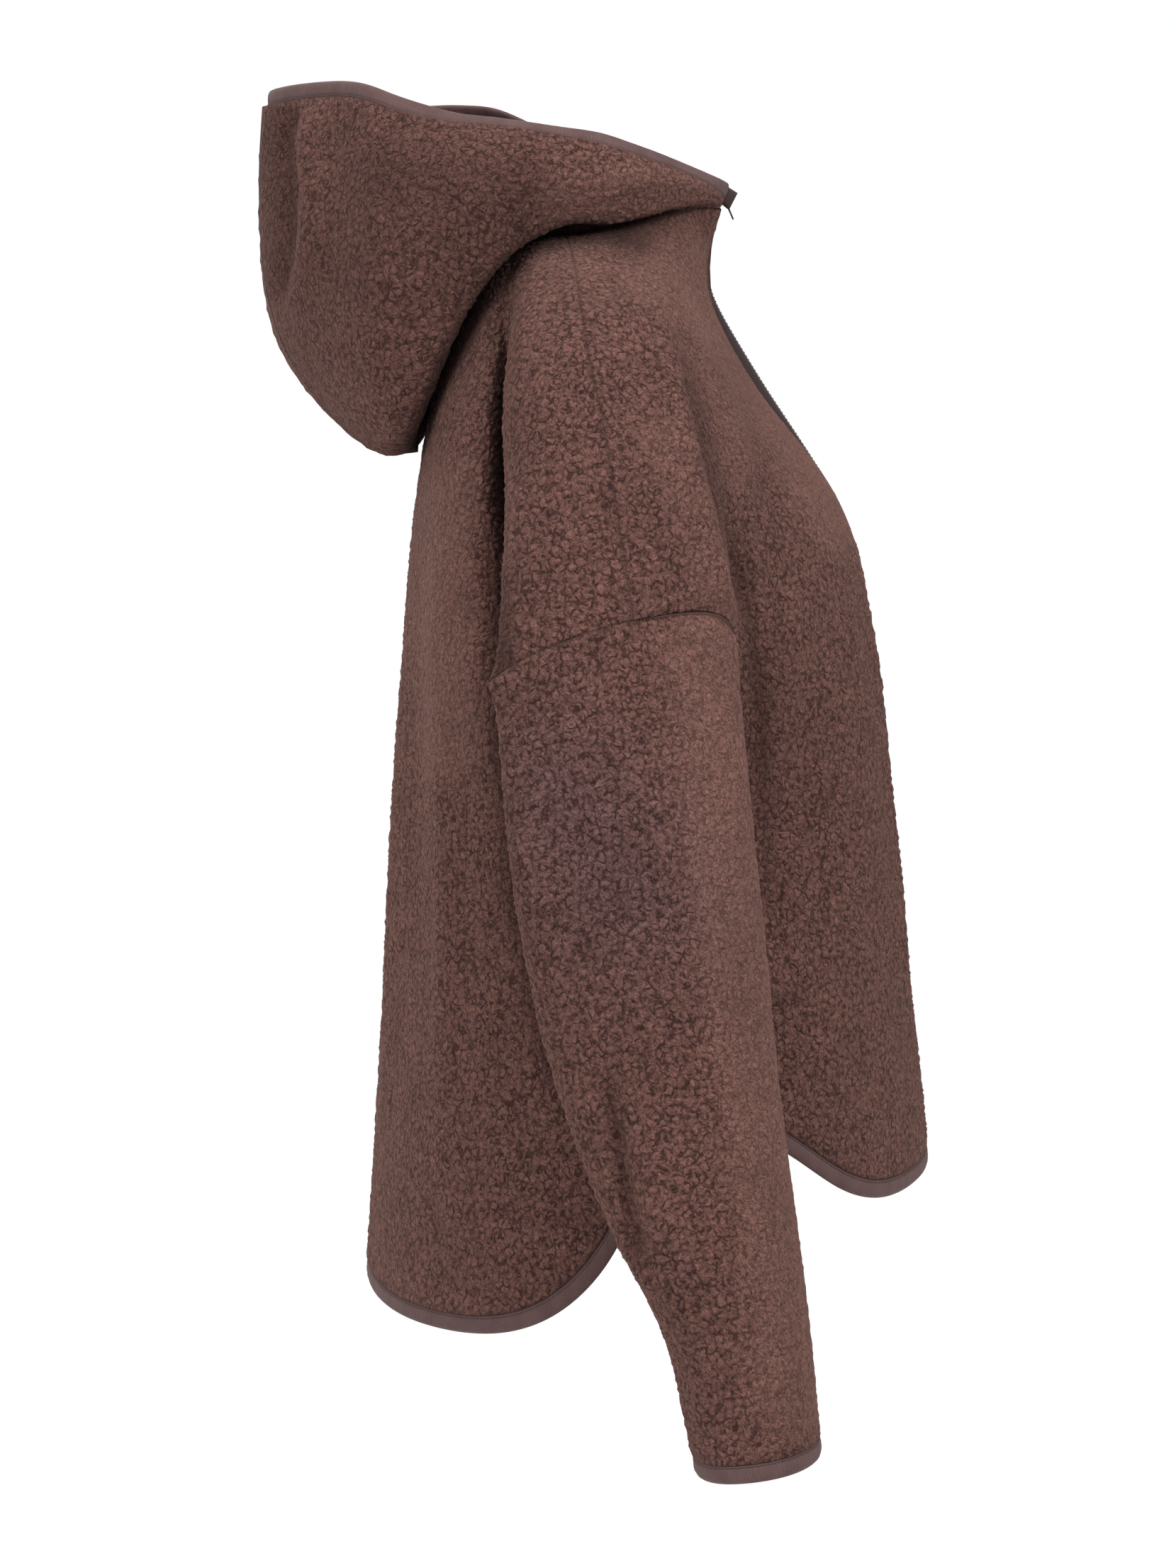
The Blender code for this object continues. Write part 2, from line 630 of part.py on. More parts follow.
class ZipLine:
    """The fleece's front edge from the top down, brought to the middle plane."""

    def __init__(self, edge):
        self.line = edge[:, 0] * (0.0, 1.0, 1.0)
        self.spread = lengths_along(self.line)
        self.length = self.spread[-1]
        inward = edge[:, 1] - edge[:, 0]
        self.inward = inward / inward[:, :1]

    def read(self, values, distance):
        return np.array([np.interp(distance, self.spread, values[:, axis]) for axis in range(3)])

    def at(self, distance):
        """A point, the way down and the way out, and how the fleece falls away to the side."""
        point = self.read(self.line, distance)
        above = self.read(self.line, max(distance - ZIP_REACH, 0.0))
        below = self.read(self.line, min(distance + ZIP_REACH, self.length))
        down = unit(below - above)
        outward = np.array((0.0, down[2], -down[1]))
        return point, down, outward, float(np.dot(self.read(self.inward, distance), outward))

    def lift(self, up):
        heights = [row[0] * MM for row in ZIP_LIFT][::-1]
        values = [row[1] * MM for row in ZIP_LIFT][::-1]
        proud = np.interp(up, heights, values)
        return FLEECE_WALL / 2.0 + proud - CHAIN_THICKNESS / 2.0


def strip_wall(name, rows, thickness, kind, collection):
    """A wall about a plain grid of points."""
    cloth = Cloth()
    cloth.add_grid(rows, lambda row, column: name, "zip")
    cloth.points = np.array(cloth.points)
    return wall(name, cloth.points, cloth.faces, cloth.normals(), thickness, kind, collection,
                shift=lambda number: 0.0)


def zip_rows(line, top):
    """Distances down the front edge: a few at the top, then wherever the fleece has a row."""
    rows = [row for row in line.spread if row > top + ZIP_REACH]
    steps = [top]
    for row in rows:
        if row - steps[-1] > ZIP_REACH * 0.6:
            steps.append(row)
    steps[-1] = line.length - ZIP_END
    return steps


def make_zip(edge, collection):
    """The closed chain and its two tapes, which follow the fleece's front edges."""
    line = ZipLine(edge)
    chain_top = SLIDER_BELOW_TOP - SLIDER_SIZE[1] / 2.0 + WEDGE_SIZE[1] + ZIP_SLACK
    chain = []
    for distance in zip_rows(line, chain_top):
        point, _, outward, _ = line.at(distance)
        centre = point + outward * line.lift(point[2])
        chain.append([centre + np.array((side * CHAIN_HALF_WIDTH, 0.0, 0.0)) for side in (-1, 1)])
    strip_wall("zip_chain", np.array(chain)[:, ::-1], CHAIN_THICKNESS, "chain", collection)
    for side, name in ((-1.0, "zip_tape_right"), (1.0, "zip_tape_left")):
        rows = []
        for distance in zip_rows(line, ZIP_END):
            point, _, outward, slope = line.at(distance)
            lift = line.lift(point[2])
            hidden = slope * (TAPE_HIDDEN_EDGE - FRONT_GAP * MM) - TAPE_DEPTH
            section = ((TAPE_EDGE, lift), (TAPE_TURN, lift - TAPE_TURN_DROP),
                       (TAPE_UNDER, -TAPE_DEPTH), (TAPE_HIDDEN_EDGE, hidden))
            rows.append([point + outward * rise + np.array((side * out, 0.0, 0.0))
                         for out, rise in section])
        grid = np.array(rows)
        strip_wall(name, grid if side > 0 else grid[:, ::-1], TAPE_THICKNESS, "tape", collection)
    return line


def box(name, size, centre, frame, collection):
    bpy.ops.mesh.primitive_cube_add(size=1.0)
    thing = bpy.context.active_object
    thing.name = name
    thing.data.name = name
    thing.data.transform(Matrix.Translation(centre) @ Matrix.Diagonal((*size, 1.0)))
    thing.matrix_world = frame
    for owner in list(thing.users_collection):
        owner.objects.unlink(thing)
    collection.objects.link(thing)
    return thing


def combine(thing, other, operation):
    other.hide_render = True
    other.display_type = "WIRE"
    change = thing.modifiers.new(operation.lower() + "_" + other.name, "BOOLEAN")
    change.operation = operation
    change.solver = "EXACT"
    change.object = other


def make_slider(line, parts, guides):
    """The slider's two plates about the chain, the wedge between them and the pull's bail."""
    point, down, outward, _ = line.at(SLIDER_BELOW_TOP)
    centre = Vector(point + outward * line.lift(point[2]))
    frame = Matrix((Vector((1, 0, 0)), Vector(-down), Vector(outward))).transposed().to_4x4()
    frame.translation = centre
    width, length, plate = SLIDER_SIZE
    level = (SLIDER_GAP + plate) / 2.0
    slider = box("zip_slider", (width, length, plate), (0, 0, level), frame, parts)
    back = box("slider_back_plate", (width, length, plate), (0, 0, -level), frame, guides)
    wedge_up = (length - WEDGE_SIZE[1]) / 2.0
    wedge = box("slider_wedge", (WEDGE_SIZE[0], WEDGE_SIZE[1], 2.0 * level), (0, wedge_up, 0),
                frame, guides)
    face = level + plate / 2.0
    bail = box("slider_bail", BAIL_SIZE, (0, 0, face + BAIL_SIZE[2] / 2.0 - 0.1 * MM), frame, guides)
    hole = box("bail_hole", (2.0 * BAIL_SIZE[0], *BAIL_HOLE), (0, 0, face + BAIL_HOLE[1] / 2.0),
               frame, guides)
    for other in (back, wedge, bail):
        combine(slider, other, "UNION")
    combine(slider, hole, "DIFFERENCE")
    paint(slider, "zip_slider", "metal")
    hinge = Vector((0.0, -1.2 * MM, face + BAIL_HOLE[1] / 2.0))
    return frame @ hinge


def make_pull(hinge, collection):
    """A bent wire loop through the bail, hanging from its cross bar at the hinge."""
    curve = bpy.data.curves.new("zip_pull", "CURVE")
    curve.dimensions = "3D"
    curve.bevel_depth = PULL_WIRE
    curve.bevel_resolution = 1
    corner = 0.6 * MM
    half, tip = PULL_HALF_WIDTH, PULL_TIP_HALF_WIDTH
    side = [(half - corner, 0.0), (half, -corner), (half, -4.0 * MM), (tip, -7.5 * MM),
            (tip, -PULL_LENGTH + tip)]
    side += [(tip * math.cos(turn), -PULL_LENGTH + tip - tip * math.sin(turn))
             for turn in (math.pi / 6, math.pi / 3)]
    loop = side + [(0.0, -PULL_LENGTH)] + [(-x, z) for x, z in reversed(side)]
    path = curve.splines.new("POLY")
    path.points.add(len(loop) - 1)
    for knot, (x, z) in zip(path.points, loop):
        knot.co = (x, 0.0, z, 1.0)
    path.use_cyclic_u = True
    pull = bpy.data.objects.new("zip_pull", curve)
    collection.objects.link(pull)
    pull.location = hinge
    pull.rotation_euler = (-PULL_LEAN, 0.0, 0.0)
    paint(pull, "zip_pull", "metal")
    return pull


def main():
    for thing in list(bpy.data.objects):
        bpy.data.objects.remove(thing, do_unlink=True)
    parts = new_collection("zip_up_hoodie")
    guides = new_collection("cutters")
    cloth, neck_keys, edge = make_cloth()
    cloth_pieces(cloth, neck_keys, parts)
    line = make_zip(edge, parts)
    hinge = make_slider(line, parts, guides)
    make_pull(hinge, parts)


main()
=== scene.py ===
import math

import bmesh
import bpy
import numpy as np
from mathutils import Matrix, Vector
from mathutils.kdtree import KDTree


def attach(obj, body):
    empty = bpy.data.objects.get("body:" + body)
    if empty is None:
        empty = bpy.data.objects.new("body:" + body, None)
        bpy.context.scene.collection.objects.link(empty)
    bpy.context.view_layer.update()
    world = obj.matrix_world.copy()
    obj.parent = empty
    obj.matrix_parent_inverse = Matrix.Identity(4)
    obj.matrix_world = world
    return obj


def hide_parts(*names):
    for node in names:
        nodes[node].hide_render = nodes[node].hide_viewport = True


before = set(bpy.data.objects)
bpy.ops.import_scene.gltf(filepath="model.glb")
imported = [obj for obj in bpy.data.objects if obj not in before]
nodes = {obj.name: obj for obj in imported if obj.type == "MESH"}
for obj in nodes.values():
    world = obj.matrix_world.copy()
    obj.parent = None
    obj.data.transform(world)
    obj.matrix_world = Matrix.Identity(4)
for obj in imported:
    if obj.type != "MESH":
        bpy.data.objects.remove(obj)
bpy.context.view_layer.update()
mm = 0.001

# Camera, floor and lights: each light's name, place, aim, watts and size.
studio = {
    "cameraPlace": (-2.4, 0.0, -0.123),
    "cameraTurn": (90.0, 0.0, -90.0),
    "lens": 89.84,
    "sensorHeight": 36.0,
    "shiftY": -0.2197,
    "floorUp": -1.42,
    "floorRadius": 1.9,
    "floorSides": 96,
    "floorRoughness": 0.9,
    "floorColour": (0.93, 0.925, 0.92, 1.0),
    "backdrop": (1.0, 1.0, 1.0, 1.0),
    "ambient": 0.36,
    "lights": (
        ("keyLight", (-2.2, -1.9, 1.5), (0.0, -0.05, -0.25), 62.0, 1.3),
        ("fillLight", (-2.3, 2.1, 0.8), (0.0, 0.1, -0.3), 50.0, 1.7),
        ("topLight", (-0.5, -0.1, 2.3), (0.0, 0.0, -0.3), 30.0, 1.4),
        ("backLight", (2.4, 1.6, 1.2), (0.0, 0.0, -0.3), 46.0, 2.0),
    ),
}


def newThing(name, data):
    thing = bpy.data.objects.new(name, data)
    bpy.context.scene.collection.objects.link(thing)
    return thing


def meshOf(shape, name):
    mesh = bpy.data.meshes.new(name)
    shape.to_mesh(mesh)
    shape.free()
    return mesh


# Applies an object's modifiers and returns its new mesh.
def settle(thing):
    graph = bpy.context.evaluated_depsgraph_get()
    thing.data = bpy.data.meshes.new_from_object(thing.evaluated_get(graph))
    thing.modifiers.clear()
    return thing.data


def roundOff(thing, levels):
    modifier = thing.modifiers.new("rounded", "SUBSURF")
    modifier.levels = modifier.render_levels = levels
    return settle(thing)


def makeStudio(values):
    scene = bpy.context.scene
    scene.view_settings.view_transform = "Standard"
    camera = newThing("photoCamera", bpy.data.cameras.new("photoCamera"))
    camera.data.sensor_fit = "VERTICAL"
    camera.data.sensor_height = values["sensorHeight"]
    camera.data.lens = values["lens"]
    camera.data.shift_y = values["shiftY"]
    camera.location = values["cameraPlace"]
    camera.rotation_euler = [math.radians(turn) for turn in values["cameraTurn"]]
    scene.camera = camera
    world = bpy.data.worlds.new("paleStudio")
    world.use_nodes = True
    tree = world.node_tree
    background = tree.nodes["Background"]
    seen = tree.nodes.new("ShaderNodeBackground")
    for node in (background, seen):
        node.inputs["Color"].default_value = values["backdrop"]
    background.inputs["Strength"].default_value = values["ambient"]
    paths = tree.nodes.new("ShaderNodeLightPath")
    mix = tree.nodes.new("ShaderNodeMixShader")
    for index, source in enumerate((paths.outputs["Is Camera Ray"], background.outputs[0], seen.outputs[0])):
        tree.links.new(source, mix.inputs[index])
    tree.links.new(mix.outputs[0], tree.nodes["World Output"].inputs["Surface"])
    scene.world = world
    for name, place, target, watts, size in values["lights"]:
        lamp = newThing(name, bpy.data.lights.new(name, "AREA"))
        lamp.data.energy = watts
        lamp.data.shape = "DISK"
        lamp.data.size = size
        lamp.location = place
        lamp.rotation_mode = "QUATERNION"
        lamp.rotation_quaternion = (Vector(target) - Vector(place)).to_track_quat("-Z", "Y")
    disc = bmesh.new()
    bmesh.ops.create_circle(disc, cap_ends=True, segments=values["floorSides"], radius=values["floorRadius"])
    bmesh.ops.translate(disc, verts=disc.verts[:], vec=(0.0, 0.0, values["floorUp"]))
    floor = newThing("studioFloor", meshOf(disc, "studioFloor"))
    material = bpy.data.materials.new("paleFloor")
    material.use_nodes = True
    shader = material.node_tree.nodes["Principled BSDF"]
    shader.inputs["Base Color"].default_value = values["floorColour"]
    shader.inputs["Roughness"].default_value = values["floorRoughness"]
    floor.data.materials.append(material)


makeStudio(studio)
print("studio set")


# Adds nodes to a tree, each wired to what is handed in.
class TreeMaker:
    def __init__(self, tree):
        self.tree = tree

    def wire(self, value, socket):
        if isinstance(value, bpy.types.NodeSocket):
            self.tree.links.new(value, socket)
        else:
            socket.default_value = value

    def add(self, kind, settings=(), **wires):
        node = self.tree.nodes.new(kind)
        for key, value in dict(settings).items():
            setattr(node, key, value)
        for key, value in wires.items():
            self.wire(value, self.find(node.inputs, key))
        return node

    @staticmethod
    def find(sockets, key):
        if key.startswith("in") and key[2:].isdigit():
            return sockets[int(key[2:])]
        wanted = key.replace("_", " ").lower()
        return next(one for one in sockets if one.name.lower() == wanted and one.enabled)

    def math(self, operation, first, second=0.0, third=None):
        wires = {"in0": first, "in1": second}
        if third is not None:
            wires["in2"] = third
        return self.add("ShaderNodeMath", {"operation": operation}, **wires).outputs[0]

    def times(self, first, second):
        return self.math("MULTIPLY", first, second)

    def plusTimes(self, first, second, third):
        return self.math("MULTIPLY_ADD", first, second, third)

    def wave(self, value, step):
        return self.math("SINE", self.times(value, 2.0 * math.pi / step))

    def vector(self, operation, first, second=(0.0, 0.0, 0.0), scale=None):
        other = {"in1": second} if scale is None else {"in3": scale}
        return self.add("ShaderNodeVectorMath", {"operation": operation}, in0=first, **other).outputs[0]

    def ramp(self, value, low, high, first=0.0, last=1.0):
        node = self.add("ShaderNodeMapRange", {"interpolation_type": "SMOOTHSTEP"}, in0=value,
                        in1=low, in2=high, in3=first, in4=last)
        return node.outputs[0]

    def noise(self, place, size, detail=2.0, roughness=0.5, colour=False):
        node = self.add("ShaderNodeTexNoise", {"noise_dimensions": "3D"}, Vector=place, Scale=1.0 / size,
                        Detail=detail, Roughness=roughness)
        return node.outputs[1 if colour else 0]

    def objectPlace(self):
        return self.add("ShaderNodeTexCoord").outputs["Object"]

    def attribute(self, name, output="Fac"):
        return self.add("ShaderNodeAttribute", {"attribute_name": name}).outputs[output]

    def stored(self, name, kind="FLOAT"):
        return self.add("GeometryNodeInputNamedAttribute", {"data_type": kind}, Name=name).outputs[0]

    def mix(self, share, first, second, blend="MIX"):
        node = self.add("ShaderNodeMix", {"data_type": "RGBA", "blend_type": blend}, in0=share)
        for value, socket in ((first, node.inputs[6]), (second, node.inputs[7])):
            self.wire((*value, 1.0) if isinstance(value, tuple) else value, socket)
        return node.outputs[2]

    def shaded(self, tint, shade):
        grey = self.add("ShaderNodeCombineColor", in0=shade, in1=shade, in2=shade).outputs[0]
        return self.mix(1.0, tint, grey, "MULTIPLY")

    # Wires the colour and the relief to the shader and sets the rest of the look.
    def dress(self, tint, look, relief=None, strength=0.8):
        shader = self.tree.nodes["Principled BSDF"]
        self.wire((*tint, 1.0) if isinstance(tint, tuple) else tint, shader.inputs["Base Color"])
        if relief is not None:
            bump = self.add("ShaderNodeBump", Height=relief, Strength=strength, Distance=1.0)
            self.wire(bump.outputs[0], shader.inputs["Normal"])
        for label, value in look.items():
            self.wire(value, shader.inputs[label])


def newMaterial(name):
    material = bpy.data.materials.new(name)
    material.use_nodes = True
    return material, TreeMaker(material.node_tree)


# A Geometry Nodes tree with its named inputs, each a label, a kind and a value or None.
def newTree(name, *inputs):
    tree = bpy.data.node_groups.new(name, "GeometryNodeTree")
    for label, kind, value in (("Geometry", "Geometry", None), *inputs):
        socket = tree.interface.new_socket(label, in_out="INPUT", socket_type="NodeSocket" + kind)
        if value is not None:
            socket.default_value = value
    tree.interface.new_socket("Geometry", in_out="OUTPUT", socket_type="NodeSocketGeometry")
    return TreeMaker(tree), tree.nodes.new("NodeGroupInput").outputs


# Makes instances real, sets the material, also where further marks are chosen, and ends the tree.
def endTree(maker, geometry, material, *chosen):
    last = maker.add("GeometryNodeRealizeInstances", Geometry=geometry)
    last = maker.add("GeometryNodeSetMaterial", Geometry=last.outputs[0], Material=material)
    for selection, other in chosen:
        last = maker.add("GeometryNodeSetMaterial", Geometry=last.outputs[0], Selection=selection,
                         Material=other)
    leave = maker.tree.nodes.new("NodeGroupOutput")
    maker.wire(last.outputs[0], leave.inputs[0])
    return maker.tree


# The pile's clumps: how far out the cloth stands, and how open the cracks between them are.
def nubField(maker, place, nap, values):
    bend = maker.noise(place, values["bendSize"], 1.0, 0.5, colour=True)
    bend = maker.vector("SUBTRACT", bend, (0.5, 0.5, 0.5))
    bent = maker.vector("ADD", place, maker.vector("SCALE", bend, scale=values["bend"]))
    walls = maker.add("ShaderNodeTexVoronoi", {"feature": "DISTANCE_TO_EDGE"}, Vector=bent,
                      Scale=1.0 / values["size"], Randomness=1.0).outputs["Distance"]
    crack = maker.ramp(walls, 0.0, values["crackWidth"], 1.0, 0.0)
    broken = maker.ramp(maker.noise(place, values["brokenSize"], 1.0, 0.5), 0.36, 0.62, 0.30, 1.0)
    openness = maker.ramp(maker.noise(place, values["patchSize"], 2.0, 0.6), 0.36, 0.56, 0.82, 1.0)
    calm = maker.math("SUBTRACT", 1.0, maker.times(nap, values["napCalm"]))
    crack = maker.times(maker.times(crack, broken), maker.times(openness, calm))
    swell = maker.noise(place, values["swellSize"], 1.0, 0.5)
    fine = maker.noise(bent, values["fineSize"], 2.0, 0.62)
    dome = maker.ramp(walls, 0.0, values["domeWidth"])
    dome = maker.times(dome, maker.times(openness, values["domeShare"]))
    rough = maker.plusTimes(fine, values["fineShare"], dome)
    rise = maker.plusTimes(swell, values["swellShare"], rough)
    return maker.times(rise, calm), crack, fine


fleece = {
    "nubs": {
        "size": 4.6 * mm, "bendSize": 5.2 * mm, "bend": 6.0 * mm, "crackWidth": 0.30,
        "brokenSize": 3.4 * mm, "patchSize": 8.0 * mm, "fineSize": 1.1 * mm, "fineShare": 0.9,
        "swellSize": 9.0 * mm, "swellShare": 0.5, "napCalm": 0.42, "domeWidth": 0.42, "domeShare": 0.75,
    },
    "nubHeight": 1.45 * mm,
    "sink": 1.0 * mm,
    "seamFade": 2.2 * mm,
    "seamReach": 7.5 * mm,
    "zipSeamReach": 3.2 * mm,
    "zipSeamWidth": 20.0 * mm,
    "seamStep": 0.4 * mm,
    "foldFade": 9.0 * mm,
    "cornerTurn": math.radians(66.0),
    "colour": (0.166, 0.080, 0.066),
    "insideColour": (0.124, 0.061, 0.051),
    "rimColour": (0.080, 0.039, 0.033),
    # attribute or crack, its share at full strength, the colour it mixes in
    "tints": (
        # painted highlight where the pile lies flat, its calmer cracks being real
        ("nap", 0.42, (0.198, 0.104, 0.085)),
        ("cool", 0.62, (0.124, 0.071, 0.074)),
        # painted shade in the cracks between the clumps
        ("crack", 0.95, (0.032, 0.0145, 0.0125)),
        # painted shade in the seam grooves
        ("seamNear", 0.55, (0.062, 0.030, 0.026)),
        ("shade", 0.85, (0.032, 0.0145, 0.0125)),
    ),
    "hairSize": 0.6 * mm,
    "hairTurn": math.radians(45.0),
    "hairStretch": (1.0, 1.0, 0.28),
    "hairShades": (0.62, 1.36),
    "fineShades": (0.60, 1.34),
    "broadSize": 38.0 * mm,
    "broadShades": (0.93, 1.07),
    # painted shade from the occlusion node: how far it looks and how dark it makes close places
    "closeReach": 42.0 * mm,
    "occlusionShade": 0.85,
    "relief": {"rise": 0.9 * mm, "hair": 0.6 * mm, "crack": 0.7 * mm, "strength": 0.85},
    "look": {"Roughness": 0.95, "Specular IOR Level": 0.10, "Sheen Weight": 0.20, "Sheen Roughness": 0.5,
             "Sheen Tint": (0.70, 0.42, 0.36, 1.0)},
    "rimLook": {"Roughness": 0.98},
    # node: cuts on each coarse edge of its outer face, a place in its hollow, and the flat cut's
    # width, length and area
    "pieces": {
        "back": (4, (0.0, -0.03, -0.3), (0.66, 0.72, 0.361)),
        "front_left": (4, (0.0, -0.03, -0.3), (0.30, 0.66, 0.141)),
        "front_right": (4, (0.0, -0.03, -0.3), (0.30, 0.66, 0.141)),
        "sleeve_left": (5, (0.238, -0.05, -0.42), (0.32, 0.50, 0.125)),
        "sleeve_right": (5, (-0.238, -0.05, -0.42), (0.32, 0.50, 0.125)),
        "hood_left": (2, (0.0, 0.135, 0.0), (0.34, 0.36, 0.077)),
        "hood_right": (2, (0.0, 0.135, 0.0), (0.34, 0.36, 0.069)),
    },
}

# Creases beside the solids' own folds: a ridge where the height is more than nothing, a trough
# where it is less. Points are (back, up) in the rows of the right side and the mirrored rows of
# the left one, and (out, up) in the rows seen from ahead and behind.
creases = (
    # node, seen from, half width, height, points, all in millimetres
    ("front_right", "side", 8, 5.0, ((-31, -31), (-40, -38), (-59, -60), (-74, -83), (-82, -107),
                                     (-87, -133), (-89, -166))),
    ("front_right", "side", 6, -6.0, ((-49, -50), (-54, -72), (-65, -118), (-75, -159), (-84, -195),
                                      (-91, -222), (-94, -240))),
    ("front_right", "side", 8, 4.5, ((-40, -50), (-45, -72), (-55, -118), (-65, -159), (-73, -195),
                                     (-79, -222), (-82, -240))),
    ("front_right", "side", 7, -4.3, ((-84, -93), (-99, -108), (-112, -124))),
    ("front_right", "side", 13, 3.2, ((-67, -23), (-106, -98), (-150, -163))),
    ("front_right", "side", 7, -2.3, ((8, -33), (-14, -35), (-38, -36))),
    ("front_right", "side", 12, 3.5, ((-126, -200), (-117, -229), (-110, -275), (-103, -319))),
    ("sleeve_right", "side", 11, 3.2, ((-47, -308), (-69, -400), (-81, -490), (-95, -588), (-111, -660))),
    ("sleeve_right", "side", 7, -5.5, ((-8, -462), (-16, -515), (-24, -556), (-30, -578))),
    ("sleeve_right", "side", 6, 4.9, ((-15, -556), (-28, -574), (-36, -586))),
    ("sleeve_right", "side", 10, -2.6, ((28, -300), (14, -368), (2, -430))),
    ("sleeve_right", "side", 12, 2.3, ((-20, -262), (-34, -330), (-44, -396))),
    ("back", "side", 9, 3.8, ((83, -110), (86, -185), (87, -254), (84, -346), (83, -412), (82, -520))),
    ("back", "side", 8, -3.8, ((101, -170), (102, -300), (101, -420))),
    ("back", "side", 6, -2.6, ((112, -420), (99, -423), (88, -421))),
    ("hood_right", "side", 12, -3.2, ((120, -104), (108, -72), (100, -38), (99, -10))),
    ("hood_right", "side", 9, 6.1, ((162, 84), (168, 55), (165, 26), (166, -4), (173, -36))),
    ("hood_right", "side", 6, -7.2, ((178, 88), (182, 56), (179, 28), (179, 0), (187, -33), (191, -47))),
    ("front_left", "mirrored", 10, 3.5, ((-33, -36), (-60, -62), (-80, -104), (-92, -150))),
    ("front_left", "mirrored", 8, -3.2, ((-88, -99), (-103, -117), (-116, -138))),
    ("front_left", "mirrored", 13, 2.9, ((-112, -206), (-108, -262), (-104, -330))),
    ("sleeve_left", "mirrored", 11, 2.9, ((-42, -296), (-62, -380), (-80, -476), (-93, -570),
                                          (-108, -650))),
    ("sleeve_left", "mirrored", 8, -4.1, ((-12, -448), (-19, -505), (-26, -548), (-31, -570))),
    ("sleeve_left", "mirrored", 7, 3.2, ((-10, -540), (-24, -560), (-38, -574))),
    ("back", "mirrored", 10, 3.5, ((80, -120), (84, -200), (86, -275), (82, -360), (80, -470))),
    ("back", "mirrored", 8, -3.5, ((100, -190), (103, -290), (100, -390))),
    ("hood_left", "mirrored", 12, -2.9, ((118, -96), (104, -60), (98, -20))),
    ("back", "behind", 14, 3.8, ((38, -170), (46, -260), (42, -360), (50, -470))),
    ("back", "behind", 12, -3.8, ((-14, -190), (-20, -290), (-12, -380))),
    ("back", "behind", 15, 3.2, ((-60, -230), (-66, -330), (-58, -430), (-64, -540))),
    ("back", "behind", 10, -2.9, ((78, -300), (84, -390), (80, -480))),
    ("front_right", "ahead", 13, 3.2, ((-52, -190), (-60, -290), (-56, -380), (-66, -500))),
    ("front_right", "ahead", 10, -2.9, ((-30, -240), (-34, -330), (-30, -420))),
    ("front_left", "ahead", 12, 3.5, ((44, -170), (56, -260), (52, -350), (58, -430))),
    ("front_left", "ahead", 10, -2.9, ((84, -230), (90, -320), (86, -430))),
)

# Where the pile lies flat from brushing, its cracks calmer, with a painted highlight that draws it lighter:
# points (back, up) of the side view.
brushedAndLit = (
    # node, half width, share, points
    ("front_right", 27, 1.0, ((-40, 5), (-67, -23), (-106, -98), (-150, -163))),
    ("front_right", 14, 0.7, ((-31, -31), (-40, -38), (-59, -60), (-74, -83), (-83, -110), (-88, -140))),
    ("front_right", 16, 0.6, ((-40, -120), (-56, -150), (-68, -190), (-76, -222))),
    ("sleeve_right", 30, 1.0, ((-66, -235), (-72, -300), (-82, -383), (-95, -470), (-104, -545),
                               (-114, -640))),
    ("hood_right", 22, 0.9, ((-76, 26), (-30, 22), (10, 12))),
    # mostly a painted highlight on the back's upper part, where the light falls
    ("back", 24, 0.7, ((87, -150), (87, -200), (86, -260), (84, -300))),
    ("front_left", 34, 1.0, ((-40, 5), (-67, -23), (-106, -98), (-150, -163))),
    ("sleeve_left", 22, 1.0, ((-70, -230), (-84, -330), (-98, -440), (-108, -560), (-118, -670))),
    ("hood_left", 30, 0.8, ((-70, 28), (-20, 22), (40, 16), (70, 30))),
)

# Painted shade: soft shadow where a fold lies over the cloth beside it, under the hood's roll and behind the
# sleeve, and broad darker patches over the hood: points (back, up) of the side view.
shadeLines = (
    # node, half width, share, points
    ("hood_right", 5, 0.9, ((180, 88), (182, 56), (180, 28), (180, 0), (188, -33), (192, -47))),
    ("hood_right", 6, 0.45, ((190, -60), (172, -92), (150, -118), (130, -140))),
    ("front_right", 6, 0.6, ((-50, -50), (-54, -72), (-65, -118), (-75, -159), (-84, -195), (-91, -222),
                             (-97, -262), (-101, -330), (-106, -400))),
    ("front_right", 12, 0.3, ((-72, -66), (-88, -96), (-98, -130), (-110, -160))),
    ("sleeve_right", 5, 0.6, ((-8, -462), (-16, -515), (-24, -556), (-30, -578))),
    ("sleeve_left", 5, 0.5, ((-12, -448), (-19, -505), (-26, -548), (-31, -570))),
    ("hood_left", 6, 0.4, ((184, 70), (184, 20), (188, -30))),
    # broad painted shade over the hood where less light falls
    ("hood_right", 38, 0.55, ((145, 40), (85, 22), (45, 18), (15, 16))),
    # painted shadow under the hood's roll at the neck seam
    ("front_right", 9, 1.0, ((32, 2), (4, 1), (-24, -6), (-44, -12))),
    ("hood_right", 14, 0.5, ((192, 110), (193, 40), (190, 0), (197, -60))),
    ("hood_right", 80, 0.25, ((250, -70), (120, -10), (40, 8), (10, 10))),
    ("hood_left", 45, 0.45, ((160, 50), (85, 22), (35, 18), (-5, 14))),
    # painted shadow behind the sleeve's back edge
    ("back", 9, 0.95, ((50, -175), (48, -240), (48, -295), (45, -328), (36, -395), (22, -461), (6, -519))),
    ("front_right", 9, 0.95, ((45, -328), (36, -395), (22, -461), (6, -519), (-7, -556))),
)

# How far the hood's opening edge is lifted: side of the body, height, middle and half width along
# the garment. The lift starts and is full at two heights, and fades in beside the middle.
edgeLifts = ((-1.0, 6.8, 62.0, 46.0), (1.0, -0.5, 60.0, 46.0), (-1.0, 3.0, 196.0, 14.0))
liftFrom = -5.0
liftOver = 60.0
liftBeside = 40.0

